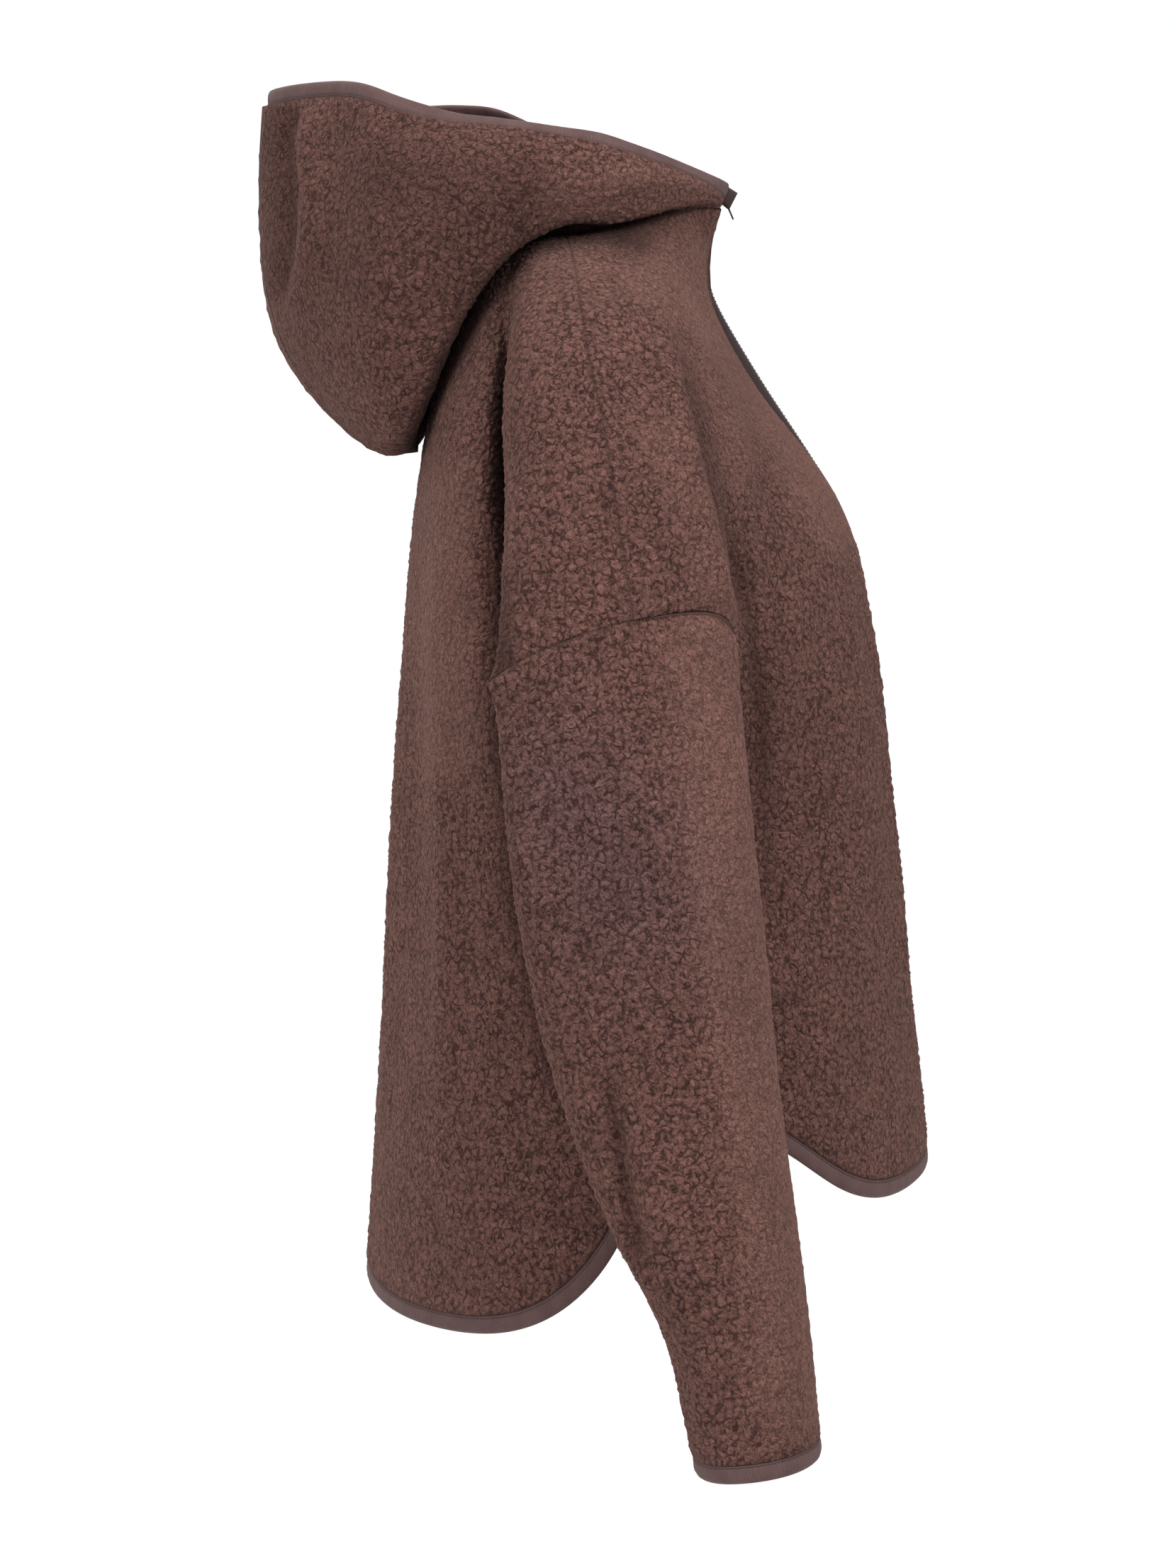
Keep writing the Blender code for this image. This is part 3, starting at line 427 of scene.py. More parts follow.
# How far the underside of the hood's roll is let down onto the neck seam, and where it fades out:
# upward and away from the middle.
rollDrop = {"height": 3.4, "middle": 4.0, "halfWidth": 36.0, "top": 17.0, "fadeUp": 9.0, "side": 104.0,
            "fadeOut": 16.0}

# A cooler, greyer patch of the sleeve: node, half width, points (back, up).
coolPatches = (
    ("sleeve_right", 46, ((14, -318), (0, -345), (-16, -372))),
    ("sleeve_left", 40, ((20, -300), (4, -335))),
)

# The axis and direction that a crease's row is seen along, and the two axes of its points.
views = {"side": (0, -1.0, (1, 2)), "mirrored": (0, 1.0, (1, 2)), "behind": (1, 1.0, (0, 2)),
         "ahead": (1, -1.0, (0, 2))}


def clamped(value):
    return min(max(value, 0.0), 1.0)


def eased(value):
    return value * value * (3.0 - 2.0 * value)


# Each place's distance to a path, and how far along the path it lies, from 0 to 1.
def pathGaps(places, path):
    path = np.array(path, float) * mm
    lengths = np.linalg.norm(np.diff(path, axis=0), axis=1)
    starts = np.concatenate(([0.0], np.cumsum(lengths)))
    best = np.full(len(places), 1.0)
    where = np.zeros(len(places))
    for start, end, length, before in zip(path[:-1], path[1:], lengths, starts):
        run = end - start
        share = np.clip(((places - start) @ run) / (run @ run), 0.0, 1.0)
        gap = np.linalg.norm(places - (start + share[:, None] * run), axis=1)
        nearer = gap < best
        best[nearer] = gap[nearer]
        where[nearer] = (before + share * length)[nearer] / starts[-1]
    return best, where


# How squarely a place faces the view that a crease's row is read in.
def sideShare(normals, points, axis, way):
    facing = np.clip(normals[:, axis] * way * 1.8 - 0.05, 0.0, 1.0)
    return facing * (points[:, 0] * way > 0.0) if axis == 0 else facing


# How far each place of a piece moves along its normal for the piece's creases.
def creasePush(name, points, normals):
    push = np.zeros(len(points))
    for node, seenFrom, halfWidth, height, path in creases:
        if node == name:
            axis, way, flat = views[seenFrom]
            gap, where = pathGaps(points[:, flat], path)
            fade = np.clip(np.minimum(where, 1.0 - where) * 4.0 + 0.15, 0.0, 1.0)
            shape = np.exp(-((gap / (halfWidth * mm)) ** 2))
            push += height * mm * shape * fade * sideShare(normals, points, axis, way)
    return push


# The strongest of a table's rows at each place of a piece, each shaped by its kind.
def rowShare(table, name, points, shape):
    share = np.zeros(len(points))
    for node, halfWidth, *amount, path in table:
        if node == name:
            gap, where = pathGaps(points[:, (1, 2)], path)
            share = np.maximum(share, (amount or [1.0])[0] * shape(gap / (halfWidth * mm), where))
    return share


def napHighlightShape(gap, where):
    return eased(np.clip(1.6 - 1.3 * gap, 0.0, 1.0))


def shadeShape(gap, where):
    return np.clip(np.minimum(where, 1.0 - where) * 6.0, 0.0, 1.0) * np.exp(-(gap ** 2))


def coolShape(gap, where):
    return np.exp(-(gap ** 2))


# Where a place of the hood's solids goes: its opening edge up, the underside of its roll down.
def liftedPlace(name, place):
    if not name.startswith("hood"):
        return place
    out, back, up = (value / mm for value in place)
    fall = eased(clamped((up - liftFrom) / liftOver))
    rise = 0.0
    for side, height, middle, halfWidth in edgeLifts:
        beside = clamped(out * side / liftBeside)
        rise += height * fall * beside * math.exp(-(((back - middle) / halfWidth) ** 2))
    under = clamped((rollDrop["top"] - up) / rollDrop["fadeUp"])
    under *= clamped((rollDrop["side"] - abs(out)) / rollDrop["fadeOut"])
    reach = (back - rollDrop["middle"]) / rollDrop["halfWidth"]
    rise -= rollDrop["height"] * under * math.exp(-reach * reach)
    return place + Vector((0.0, 0.0, rise * mm))


# The node's mesh, merged and with its triangles joined to quads.
def mergedCopy(name):
    shape = bmesh.new()
    shape.from_mesh(nodes[name].data)
    bmesh.ops.remove_doubles(shape, verts=shape.verts[:], dist=0.001 * mm)
    bmesh.ops.join_triangles(shape, faces=shape.faces[:], angle_face_threshold=1.2,
                             angle_shape_threshold=3.1)
    for vert in shape.verts:
        vert.co = liftedPlace(name, vert.co)
    return shape


# Marks the faces: 1 outside, 2 inside, 0 on the cut edges.
def splitSides(shape, hollow):
    shape.faces.ensure_lookup_table()
    grouped = set()
    groups = []
    for seed in shape.faces:
        if seed.index in grouped:
            continue
        members = [seed]
        grouped.add(seed.index)
        for face in members:
            for edge in face.edges:
                for other in edge.link_faces:
                    if other.index not in grouped and face.normal.angle(other.normal, 0.0) < 1.0:
                        grouped.add(other.index)
                        members.append(other)
        groups.append(members)
    groups.sort(key=lambda members: -sum(face.calc_area() for face in members))
    out = [sum((face.calc_center_median() - Vector(hollow)).dot(face.normal) * face.calc_area()
               for face in members) for members in groups[:2]]
    marks = (1, 2) if out[0] > out[1] else (2, 1)
    for face in shape.faces:
        face.material_index = 0
    for members, mark in zip(groups[:2], marks):
        for face in members:
            face.material_index = mark


def arrays(mesh):
    points = np.empty(len(mesh.vertices) * 3, np.float32)
    mesh.vertices.foreach_get("co", points)
    normals = np.empty(len(mesh.vertices) * 3, np.float32)
    mesh.vertices.foreach_get("normal", normals)
    return points.reshape(-1, 3).astype(float), normals.reshape(-1, 3).astype(float)


# Evens out a surface or a path, with the points that aren't free held.
def smoothFree(points, edges, free, rounds):
    count = np.maximum(np.bincount(edges.ravel(), minlength=len(points)), 1).astype(float)
    for _ in range(rounds):
        total = np.stack([np.bincount(edges[:, 0], points[edges[:, 1], axis], len(points))
                          + np.bincount(edges[:, 1], points[edges[:, 0], axis], len(points))
                          for axis in range(3)], axis=1)
        points = np.where(free[:, None], 0.5 * points + 0.5 * total / count[:, None], points)
    return points


def setPoints(mesh, points):
    mesh.vertices.foreach_set("co", points.astype(np.float32).ravel())
    mesh.update()


def storeFloats(mesh, name, values):
    mesh.attributes.new(name, "FLOAT", "POINT").data.foreach_set("value", values.astype(np.float32))


def pointTree(points):
    tree = KDTree(len(points))
    for index, point in enumerate(points):
        tree.insert(point, index)
    tree.balance()
    return tree


# Places along the outer edges of the pieces made so far.
edgePlaces = []


# Brings a piece's outer edge onto the edges that it is sewn to, so that no slit opens.
def closeSeams(points, border, onEdge):
    if edgePlaces:
        tree = pointTree(edgePlaces)
        for index in np.flatnonzero(onEdge):
            place, _, gap = tree.find(points[index])
            byZip = abs(place[0]) <= fleece["zipSeamWidth"]
            if gap < fleece["zipSeamReach" if byZip else "seamReach"]:
                points[index] = place
    for here, after in border:
        if here < after and onEdge[here] and onEdge[after]:
            run = points[after] - points[here]
            count = max(1, int(np.linalg.norm(run) / fleece["seamStep"]))
            edgePlaces.extend(points[here] + run * (step / count) for step in range(count))


# The edges beside a vertex where two sides meet, and whether the outline runs on without a corner.
def sideEdges(vert):
    border = [edge for edge in vert.link_edges
              if len({face.material_index for face in edge.link_faces}) > 1]
    if len(border) != 2:
        return border, None
    first, last = (edge.other_vert(vert).co - vert.co for edge in border)
    return border, math.pi - first.angle(last, 0.0)


# Holds the corners of a piece's outline, and creases its edges, for the smoothing.
def markEdges(shape, cornerTurn):
    edgeLayer = shape.edges.layers.float.new("crease_edge")
    vertLayer = shape.verts.layers.float.new("crease_vert")
    for vert in shape.verts:
        border, turn = sideEdges(vert)
        for edge in border:
            edge[edgeLayer] = 1.0
        if turn is not None and turn > cornerTurn:
            vert[vertLayer] = 1.0


# The piece's cloth on the form of its solid, fine outside and coarse inside.
def fleeceShell(name, cuts, hollow):
    shape = mergedCopy(name)
    splitSides(shape, hollow)
    markEdges(shape, fleece["cornerTurn"])
    cloth = newThing(name + "_cloth", meshOf(shape, name + "_cloth"))
    plain = roundOff(cloth, 1)
    shape = bmesh.new()
    shape.from_mesh(plain)
    outerEdges = list({edge for face in shape.faces if face.material_index == 1 for edge in face.edges})
    bmesh.ops.subdivide_edges(shape, edges=outerEdges, cuts=cuts, use_grid_fill=True)
    bmesh.ops.triangulate(shape, faces=[face for face in shape.faces if len(face.verts) > 4])
    shape.verts.index_update()
    outer, inner, rim, freeRim = np.zeros((4, len(shape.verts)), bool)
    for face in shape.faces:
        for vert in face.verts:
            outer[vert.index] |= face.material_index == 1
            inner[vert.index] |= face.material_index == 2
    border = []
    for vert in shape.verts:
        sharp, turn = sideEdges(vert)
        rim[vert.index] = bool(sharp)
        border += [(vert.index, edge.other_vert(vert).index) for edge in sharp]
        freeRim[vert.index] = turn is not None and turn < fleece["cornerTurn"]
    shape.to_mesh(plain)
    shape.free()
    points, _ = arrays(plain)
    edges = np.empty(len(plain.edges) * 2, np.int32)
    plain.edges.foreach_get("vertices", edges)
    points = smoothFree(points, np.array(border), freeRim, 3 * cuts)
    closeSeams(points, border, outer & rim)
    points = smoothFree(points, edges.reshape(-1, 2), outer & ~rim, 2 * cuts + 2)
    setPoints(plain, points)
    _, normals = arrays(plain)
    way = np.where(outer, 1.0, np.where(inner, -1.0, 0.0))
    seams = pointTree(points[rim])
    gap = np.array([min(seams.find(point)[2], fleece["foldFade"]) for point in points])
    fade = np.clip(gap / fleece["foldFade"], 0.0, 1.0)
    push = creasePush(name, points, normals * np.where(way == 0.0, 1.0, way)[:, None])
    setPoints(plain, points + normals * (push * way * fade * fade)[:, None])
    near = np.clip(gap / fleece["seamFade"], 0.0, 1.0)
    marks = np.empty(len(plain.polygons), np.int32)
    plain.polygons.foreach_get("material_index", marks)
    plain.attributes.new("sideMark", "INT", "FACE").data.foreach_set("value", marks)
    # flat-lying pile: calmer cracks, and a painted highlight that lightens its colour
    storeFloats(plain, "nap", rowShare(brushedAndLit, name, points, napHighlightShape))
    storeFloats(plain, "cool", rowShare(coolPatches, name, points, coolShape))
    storeFloats(plain, "shade", rowShare(shadeLines, name, points, shadeShape) * outer)
    # painted shade along the seams, darkest at the seam itself
    storeFloats(plain, "seamNear", (1.0 - near) * (outer | rim))
    storeFloats(plain, "pileShare", (outer & ~rim) * near)
    return cloth


# Stands the clumps of the pile out of the cloth, and keeps each point's flat place.
def pileTree(values):
    maker, given = newTree("standingPile", ("Nub Height", "Float", values["nubHeight"]),
                           ("Sink", "Float", values["sink"]), ("Cloth Material", "Material", None),
                           ("Inside Material", "Material", None), ("Rim Material", "Material", None))
    place = maker.add("GeometryNodeInputPosition").outputs[0]
    rise, _, _ = nubField(maker, place, maker.stored("nap"), values["nubs"])
    height = maker.plusTimes(rise, given["Nub Height"], maker.times(given["Sink"], -1.0))
    height = maker.times(height, maker.stored("pileShare"))
    normal = maker.add("GeometryNodeInputNormal").outputs[0]
    kept = maker.add("GeometryNodeStoreNamedAttribute", {"data_type": "FLOAT_VECTOR", "domain": "POINT"},
                     Geometry=given["Geometry"], Name="flatPlace", Value=place)
    moved = maker.add("GeometryNodeSetPosition", Geometry=kept.outputs[0],
                      Offset=maker.vector("SCALE", normal, scale=height))
    mark = maker.stored("sideMark", "INT")
    equal = {"data_type": "INT", "operation": "EQUAL"}
    chosen = [(maker.add("FunctionNodeCompare", equal, in2=mark, in3=side).outputs[0], given[label])
              for side, label in ((1, "Cloth Material"), (0, "Rim Material"))]
    return endTree(maker, moved.outputs[0], given["Inside Material"], *chosen)


# Runs a node tree on an object and leaves its result as a plain mesh.
def runTree(thing, tree, inputs):
    modifier = thing.modifiers.new(tree.name, "NODES")
    modifier.node_group = tree
    for item in tree.interface.items_tree:
        if item.item_type == "SOCKET" and item.in_out == "INPUT" and item.name in inputs:
            modifier[item.identifier] = inputs[item.name]
    graph = bpy.context.evaluated_depsgraph_get()
    graph.update()
    plain = bpy.data.meshes.new_from_object(thing.evaluated_get(graph), preserve_all_data_layers=True,
                                            depsgraph=graph)
    thing.modifiers.remove(modifier)
    thing.data = plain


# Matted pile: clumps with painted shade in the cracks between them, and fine hair that lies aslant over all
# of it.
def fleeceMaterial(values, name, inside=False):
    material, maker = newMaterial(name)
    shares = {label: maker.attribute(label) for label in ("nap", "cool", "seamNear", "shade")}
    place = maker.objectPlace() if inside else maker.attribute("flatPlace", "Vector")
    rise, shares["crack"], fine = nubField(maker, place, shares["nap"], values["nubs"])
    lie = maker.add("ShaderNodeVectorRotate", {"rotation_type": "X_AXIS"}, Vector=place,
                    Angle=values["hairTurn"]).outputs[0]
    lie = maker.vector("MULTIPLY", lie, values["hairStretch"])
    hair = maker.noise(lie, values["hairSize"], 3.0, 0.75)
    broad = maker.noise(place, values["broadSize"], 2.0, 0.5)
    tint = values["insideColour"] if inside else values["colour"]
    for label, full, colour in values["tints"]:
        tint = maker.mix(maker.times(shares[label], full), tint, colour)
    shade = maker.times(maker.ramp(hair, 0.30, 0.70, *values["hairShades"]),
                        maker.ramp(broad, 0.3, 0.7, *values["broadShades"]))
    shade = maker.times(shade, maker.ramp(fine, 0.30, 0.70, *values["fineShades"]))
    # Painted shade: the occlusion node darkens the colour where other cloth lies close, as in the gap behind
    # the sleeve and under the hood's roll.
    near = maker.add("ShaderNodeAmbientOcclusion", {"samples": 6}, Distance=values["closeReach"])
    near = maker.ramp(near.outputs["AO"], 0.12, 0.80, 1.0 - values["occlusionShade"], 1.0)
    amounts = values["relief"]
    relief = maker.plusTimes(rise, amounts["rise"], maker.times(hair, amounts["hair"]))
    relief = maker.math("SUBTRACT", relief, maker.times(shares["crack"], amounts["crack"]))
    tint = maker.shaded(tint, maker.times(shade, near))
    maker.dress(tint, values["look"], relief, amounts["strength"])
    return material


# The cut edges of the fleece, deep in the seams.
def rimMaterial(values, name):
    material, maker = newMaterial(name)
    maker.dress(values["rimColour"], values["rimLook"])
    return material


def finishPiece(piece, body, slot, *replaced):
    for polygon in piece.data.polygons:
        polygon.use_smooth = True
    if replaced:
        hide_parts(*replaced)
    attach(piece, body)


standing = pileTree(fleece)
fleeceMaterials = {
    "Cloth Material": fleeceMaterial(fleece, "brownPileFleece"),
    "Inside Material": fleeceMaterial(fleece, "fleeceWrongSide", inside=True),
    "Rim Material": rimMaterial(fleece, "fleeceCutEdge"),
}
for pieceName, (pieceCuts, pieceHollow, (cutWidth, cutLength, cutArea)) in fleece["pieces"].items():
    cloth = fleeceShell(pieceName, pieceCuts, pieceHollow)
    runTree(cloth, standing, fleeceMaterials)
    cloth.data.name = pieceName + "_cloth"
    finishPiece(cloth, "garment", "fleece", pieceName)
    print("fleece", pieceName, len(cloth.data.polygons), "faces")


# The jersey bands that close the raw edges: the node, the fleece that each is sewn to, the
# middle (out, back) that its stations turn about, and its length.
binding = {
    "pieces": {
        "hood_binding": (("hood_left", "hood_right"), (0.0, 0.055), 0.70),
        "hem_binding": (("back", "front_left", "front_right"), (0.0, -0.038), 1.30),
        "cuff_binding_left": (("sleeve_left",), None, 0.235),
        "cuff_binding_right": (("sleeve_right",), None, 0.235),
    },
    # share of the width from the seam to the free edge, height in half thicknesses
    "face": (
        (-0.16, 0.30), (0.00, 0.66), (0.03, 0.94), (0.065, 1.02), (0.09, 0.92), (0.12, 0.60), (0.16, 0.94),
        (0.26, 1.10), (0.60, 1.22), (0.80, 1.12), (0.93, 0.80), (1.00, 0.30),
    ),
    "wrongFace": (
        (1.00, -0.30), (0.93, -0.78), (0.80, -0.98), (0.50, -1.02), (0.17, -0.92), (0.12, -0.60),
        (0.08, -0.90), (0.04, -0.94), (0.00, -0.66), (-0.16, -0.30),
    ),
    "groove": (0.12, 0.84),
    "rounds": 3,
    "seamNear": 2.0 * mm,
    "foldedWidth": 0.0115,
    "pucker": 0.10,
    "puckerLength": 13.0 * mm,
    "ribStep": 0.95 * mm,
    "loopStep": 0.7 * mm,
    "colour": (0.160, 0.092, 0.088),
    "darkColour": (0.078, 0.046, 0.044),
    "look": {"Roughness": 0.82, "Specular IOR Level": 0.2, "Sheen Weight": 0.22, "Sheen Roughness": 0.4,
             "Sheen Tint": (0.60, 0.50, 0.50, 1.0)},
    "stitchLength": 3.0 * mm,
    "stitchGap": 0.9 * mm,
    "thread": 0.30 * mm,
    "threadColour": (0.048, 0.032, 0.030),
    "threadLook": {"Roughness": 0.55},
}


# The four long edges of a strip's solid, each in order: seam outside, free outside, seam inside,
# free inside. The order is by turn about a middle, or down the zip.
def stripRails(name, hollow, isSeam, order):
    shape = mergedCopy(name)
    splitSides(shape, hollow)
    rails = {}
    for vert in shape.verts:
        side = max(face.material_index for face in vert.link_faces)
        rails.setdefault((side, isSeam(vert.co)), []).append(vert.co.copy())
    shape.free()
    keys = ((1, True), (1, False), (2, True), (2, False))
    return [np.array(sorted(rails[key], key=order)) for key in keys]


# Rounds a path the way the fleece's edges are rounded.
def roundPath(points, closed, rounds):
    for _ in range(rounds):
        before, after = np.roll(points, 1, axis=0), np.roll(points, -1, axis=0)
        kept = (before + 6.0 * points + after) / 8.0
        between = (points + after) / 2.0
        if not closed:
            kept[0], kept[-1] = points[0], points[-1]
        mixed = np.empty((2 * len(points), 3))
        mixed[0::2] = kept
        mixed[1::2] = between
        points = mixed if closed else mixed[:-1]
    return points


def pathLengths(points):
    return np.concatenate(([0.0], np.cumsum(np.linalg.norm(np.diff(points, axis=0), axis=1))))


# A place of a strip at a share of its width and a height over its middle.
def stripPlace(rails, share, height):
    seamOut, freeOut, seamIn, freeIn = rails
    middle = ((seamOut + seamIn) * (1.0 - share) + (freeOut + freeIn) * share) / 2.0
    half = ((seamOut - seamIn) * (1.0 - share) + (freeOut - freeIn) * share) / 2.0
    return middle + half * np.asarray(height).reshape(-1, 1)


# A closed skin through a strip's sections, with a map of metres along and across it.
def stripSkin(name, rails, face, wrongFace, closed, puckers):
    rows = [stripPlace(rails, share, height * (1.0 + puckers * math.sin(math.pi * clamped(share))))
            for share, height in face + wrongFace]
    grid = np.stack(rows, axis=1)
    stations, ring = grid.shape[:2]
    along = pathLengths(np.vstack((rails[0], rails[0][:1])))
    width = np.linalg.norm(rails[0] - rails[1], axis=1).mean()
    across = [share * width for share, _ in face] + [(2.0 - share) * width for share, _ in wrongFace]
    faces, places = [], []
    for row in range(stations if closed else stations - 1):
        after = (row + 1) % stations
        for column in range(ring):
            beside = (column + 1) % ring
            faces.append((row * ring + column, row * ring + beside, after * ring + beside,
                          after * ring + column))
            last = across[beside] if beside else 2.0 * width
            places += [(along[row], across[column]), (along[row], last), (along[row + 1], last),
                       (along[row + 1], across[column])]
    if not closed:
        faces += [tuple(range(ring))[::-1], tuple((stations - 1) * ring + column for column in range(ring))]
        places += [(0.0, across[column]) for column in range(ring)][::-1]
        places += [(along[stations - 1], across[column]) for column in range(ring)]
    mesh = bpy.data.meshes.new(name)
    mesh.from_pydata(grid.reshape(-1, 3).tolist(), [], faces)
    mesh.uv_layers.new(name="bandMap").data.foreach_set("uv", np.array(places, np.float32).ravel())
    if sum(polygon.center.dot(polygon.normal) * polygon.area for polygon in mesh.polygons) < 0.0:
        mesh.flip_normals()
    return newThing(name, mesh)


# Fine knitted ribs across the band, a little uneven.
def jerseyMaterial(values, name):
    material, maker = newMaterial(name)
    chart = maker.add("ShaderNodeUVMap", {"uv_map": "bandMap"}).outputs[0]
    place = maker.objectPlace()
    parts = maker.add("ShaderNodeSeparateXYZ", Vector=chart).outputs
    wander = maker.noise(place, 3.0 * mm)
    rib = maker.wave(maker.plusTimes(wander, 0.5 * mm, parts[0]), values["ribStep"])
    knit = maker.plusTimes(maker.wave(parts[1], values["loopStep"]), 0.35, rib)
    cloudy = maker.noise(place, 14.0 * mm, 3.0, 0.6)
    fuzz = maker.noise(place, 0.5 * mm, 3.0, 0.7)
    share = maker.ramp(maker.plusTimes(knit, 0.3, fuzz), 0.1, 0.9)
    tint = maker.mix(share, values["darkColour"], values["colour"])
    tint = maker.shaded(tint, maker.ramp(cloudy, 0.3, 0.7, 0.92, 1.12))
    relief = maker.plusTimes(knit, 0.10 * mm, maker.times(fuzz, 0.18 * mm))
    maker.dress(tint, values["look"], relief)
    return material


def threadMaterial(values, name):
    material, maker = newMaterial(name)
    twist = maker.noise(maker.objectPlace(), 0.35 * mm, 2.0, 0.6)
    tint = maker.mix(maker.ramp(twist, 0.3, 0.7), values["darkColour"], values["threadColour"])
    maker.dress(tint, values["threadLook"], maker.times(twist, 0.08 * mm), 0.6)
    return material


# Points at even steps along the edges that are handed in.
def evenSteps(maker, given, step):
    path = maker.add("GeometryNodeMeshToCurve", Mesh=given["Geometry"])
    return maker.add("GeometryNodeResampleCurve", {"mode": "LENGTH"}, Curve=path.outputs[0],
                     Length=step).outputs[0]


# Stitches laid end to end along a path, a gap between each two.
def stitchTree(values):
    maker, given = newTree("lockStitches", ("Stitch Length", "Float", values["stitchLength"]),
                           ("Stitch Gap", "Float", values["stitchGap"]),
                           ("Thread Radius", "Float", values["thread"]),
                           ("Thread Material", "Material", None))
    steps = evenSteps(maker, given, maker.math("ADD", given["Stitch Length"], given["Stitch Gap"]))
    ball = maker.add("GeometryNodeMeshUVSphere", Segments=6, Rings=4, Radius=1.0)
    radius = given["Thread Radius"]
    size = maker.add("ShaderNodeCombineXYZ", X=radius, Y=radius, Z=maker.times(given["Stitch Length"], 0.5))
    stitch = maker.add("GeometryNodeTransform", Geometry=ball.outputs[0], Scale=size.outputs[0])
    tangent = maker.add("GeometryNodeInputTangent").outputs[0]
    turn = maker.add("FunctionNodeAlignRotationToVector", {"axis": "Z"}, Vector=tangent)
    placed = maker.add("GeometryNodeInstanceOnPoints", Points=steps, Instance=stitch.outputs[0],
                       Rotation=turn.outputs[0])
    return endTree(maker, placed.outputs[0], given["Thread Material"])


# An object that holds paths as chains of edges, for a tree to follow.
def pathObject(name, paths):
    corners, edges = [], []
    for points, closed in paths:
        first = len(corners)
        corners += points.tolist()
        edges += [(first + step, first + step + 1) for step in range(len(points) - 1)]
        if closed:
            edges.append((len(corners) - 1, first))
    mesh = bpy.data.meshes.new(name)
    mesh.from_pydata(corners, edges, [])
    return newThing(name, mesh)


def makeBindings(values):
    jersey = jerseyMaterial(values, "brownJerseyBinding")
    stitchPaths = []
    wave = np.random.default_rng(11)
    for name, (sewnTo, middle, bandLength) in values["pieces"].items():
        seams = pointTree([liftedPlace(one, vert.co) for one in sewnTo for vert in nodes[one].data.vertices])
        corners, _ = arrays(nodes[name].data)
        closed = middle is None
        out, back = corners[:, :2].mean(axis=0) if closed else middle
        hollow = (out, back, corners[:, 2].mean())
        rails = stripRails(name, hollow, lambda place: seams.find(place)[2] < values["seamNear"],
                           lambda place: math.atan2(place[0] - out, place[1] - back))
        rails = [roundPath(rail, closed, values["rounds"]) for rail in rails]
        spread = pathLengths(rails[0])
        turns = spread / values["puckerLength"] * 2.0 * math.pi
        drift = np.cumsum(wave.normal(0.0, 0.12, len(turns)))
        puckers = values["pucker"] * (np.sin(turns + drift) + 0.6 * np.sin(2.3 * turns - drift))
        band = stripSkin(name + "_band", rails, values["face"], values["wrongFace"], closed, puckers)
        band.data.materials.append(jersey)
        finishPiece(band, "garment", "jersey_binding", name)
        share, height = values["groove"]
        stitchPaths += [(stripPlace(rails, share, way * height), closed) for way in (1.0, -1.0)]
        print("binding", name, len(band.data.polygons), "faces", round(spread[-1], 3), "m")
    stitches = pathObject("binding_stitches", stitchPaths)
    runTree(stitches, stitchTree(values), {"Thread Material": threadMaterial(values, "brownThread")})
    finishPiece(stitches, "garment", "jersey_binding")
    print("stitches", len(stitches.data.polygons), "faces")


makeBindings(binding)

# The closed zip: its two woven tapes, the moulded teeth, the slider and the wire pull.
zipper = {
    "toothStep": 1.28 * mm,
    "toothSize": (3.1 * mm, 0.98 * mm, 2.1 * mm),
    "toothHead": 0.62,
    "toothRoot": 0.8,
    "toothPast": 0.12,
    "toothBevel": 0.18 * mm,
    "chainHollow": (0.0, 0.1, -0.3),
    "cordFace": ((0.0, 0.10), (0.07, 0.40), (0.24, 0.52), (0.41, 0.40), (0.50, 0.12), (0.59, 0.40),
                 (0.76, 0.52), (0.93, 0.40), (1.0, 0.10)),
    "tapeLevels": 2,
    "tapeFlat": (0.016, 0.62),
    "tapeCorner": math.radians(55.0),
    "twillStep": 0.62 * mm,
    "tapeColour": (0.070, 0.043, 0.040),
    "tapeDark": (0.030, 0.018, 0.017),
    "tapeLook": {"Roughness": 0.75, "Sheen Weight": 0.15},
    "toothColour": (0.052, 0.032, 0.029),
    "metalColour": (0.075, 0.070, 0.068),
    "wornBright": 3.2,
    "sliderBevel": 0.28 * mm,
    "sliderCorner": math.radians(40.0),
    "sliderSharp": math.radians(35.0),
    # the tape's turned end beside the slider: out, thickness, swells, corners (back, up)
    "endOut": 5.3 * mm,
    "endThickness": 0.55 * mm,
    "endSwells": (0.9 * mm, 0.5 * mm),
    "endCorners": ((-80.0, 35.0), (-91.6, 27.8), (-86.6, 18.0), (-80.6, 23.0)),
    "endCells": 6,
}


def tapeMaterial(values, name):
    material, maker = newMaterial(name)
    place = maker.objectPlace()
    parts = maker.add("ShaderNodeSeparateXYZ", Vector=place).outputs
    slant = maker.math("ADD", parts[2], maker.times(parts[1], -1.0))
    twill = maker.wave(maker.plusTimes(parts[0], 0.8, slant), values["twillStep"])
    fuzz = maker.noise(place, 0.4 * mm, 2.0, 0.6)
    share = maker.ramp(maker.plusTimes(twill, 0.35, fuzz), 0.1, 0.9)
    tint = maker.mix(share, values["tapeDark"], values["tapeColour"])
    relief = maker.plusTimes(twill, 0.09 * mm, maker.times(fuzz, 0.08 * mm))
    maker.dress(tint, values["tapeLook"], relief)
    return material


def toothMaterial(values, name):
    material, maker = newMaterial(name)
    grain = maker.noise(maker.objectPlace(), 0.5 * mm)
    tint = maker.mix(maker.ramp(grain, 0.3, 0.7), values["tapeDark"], values["toothColour"])
    maker.dress(tint, {"Roughness": maker.ramp(grain, 0.3, 0.7, 0.34, 0.5)})
    return material


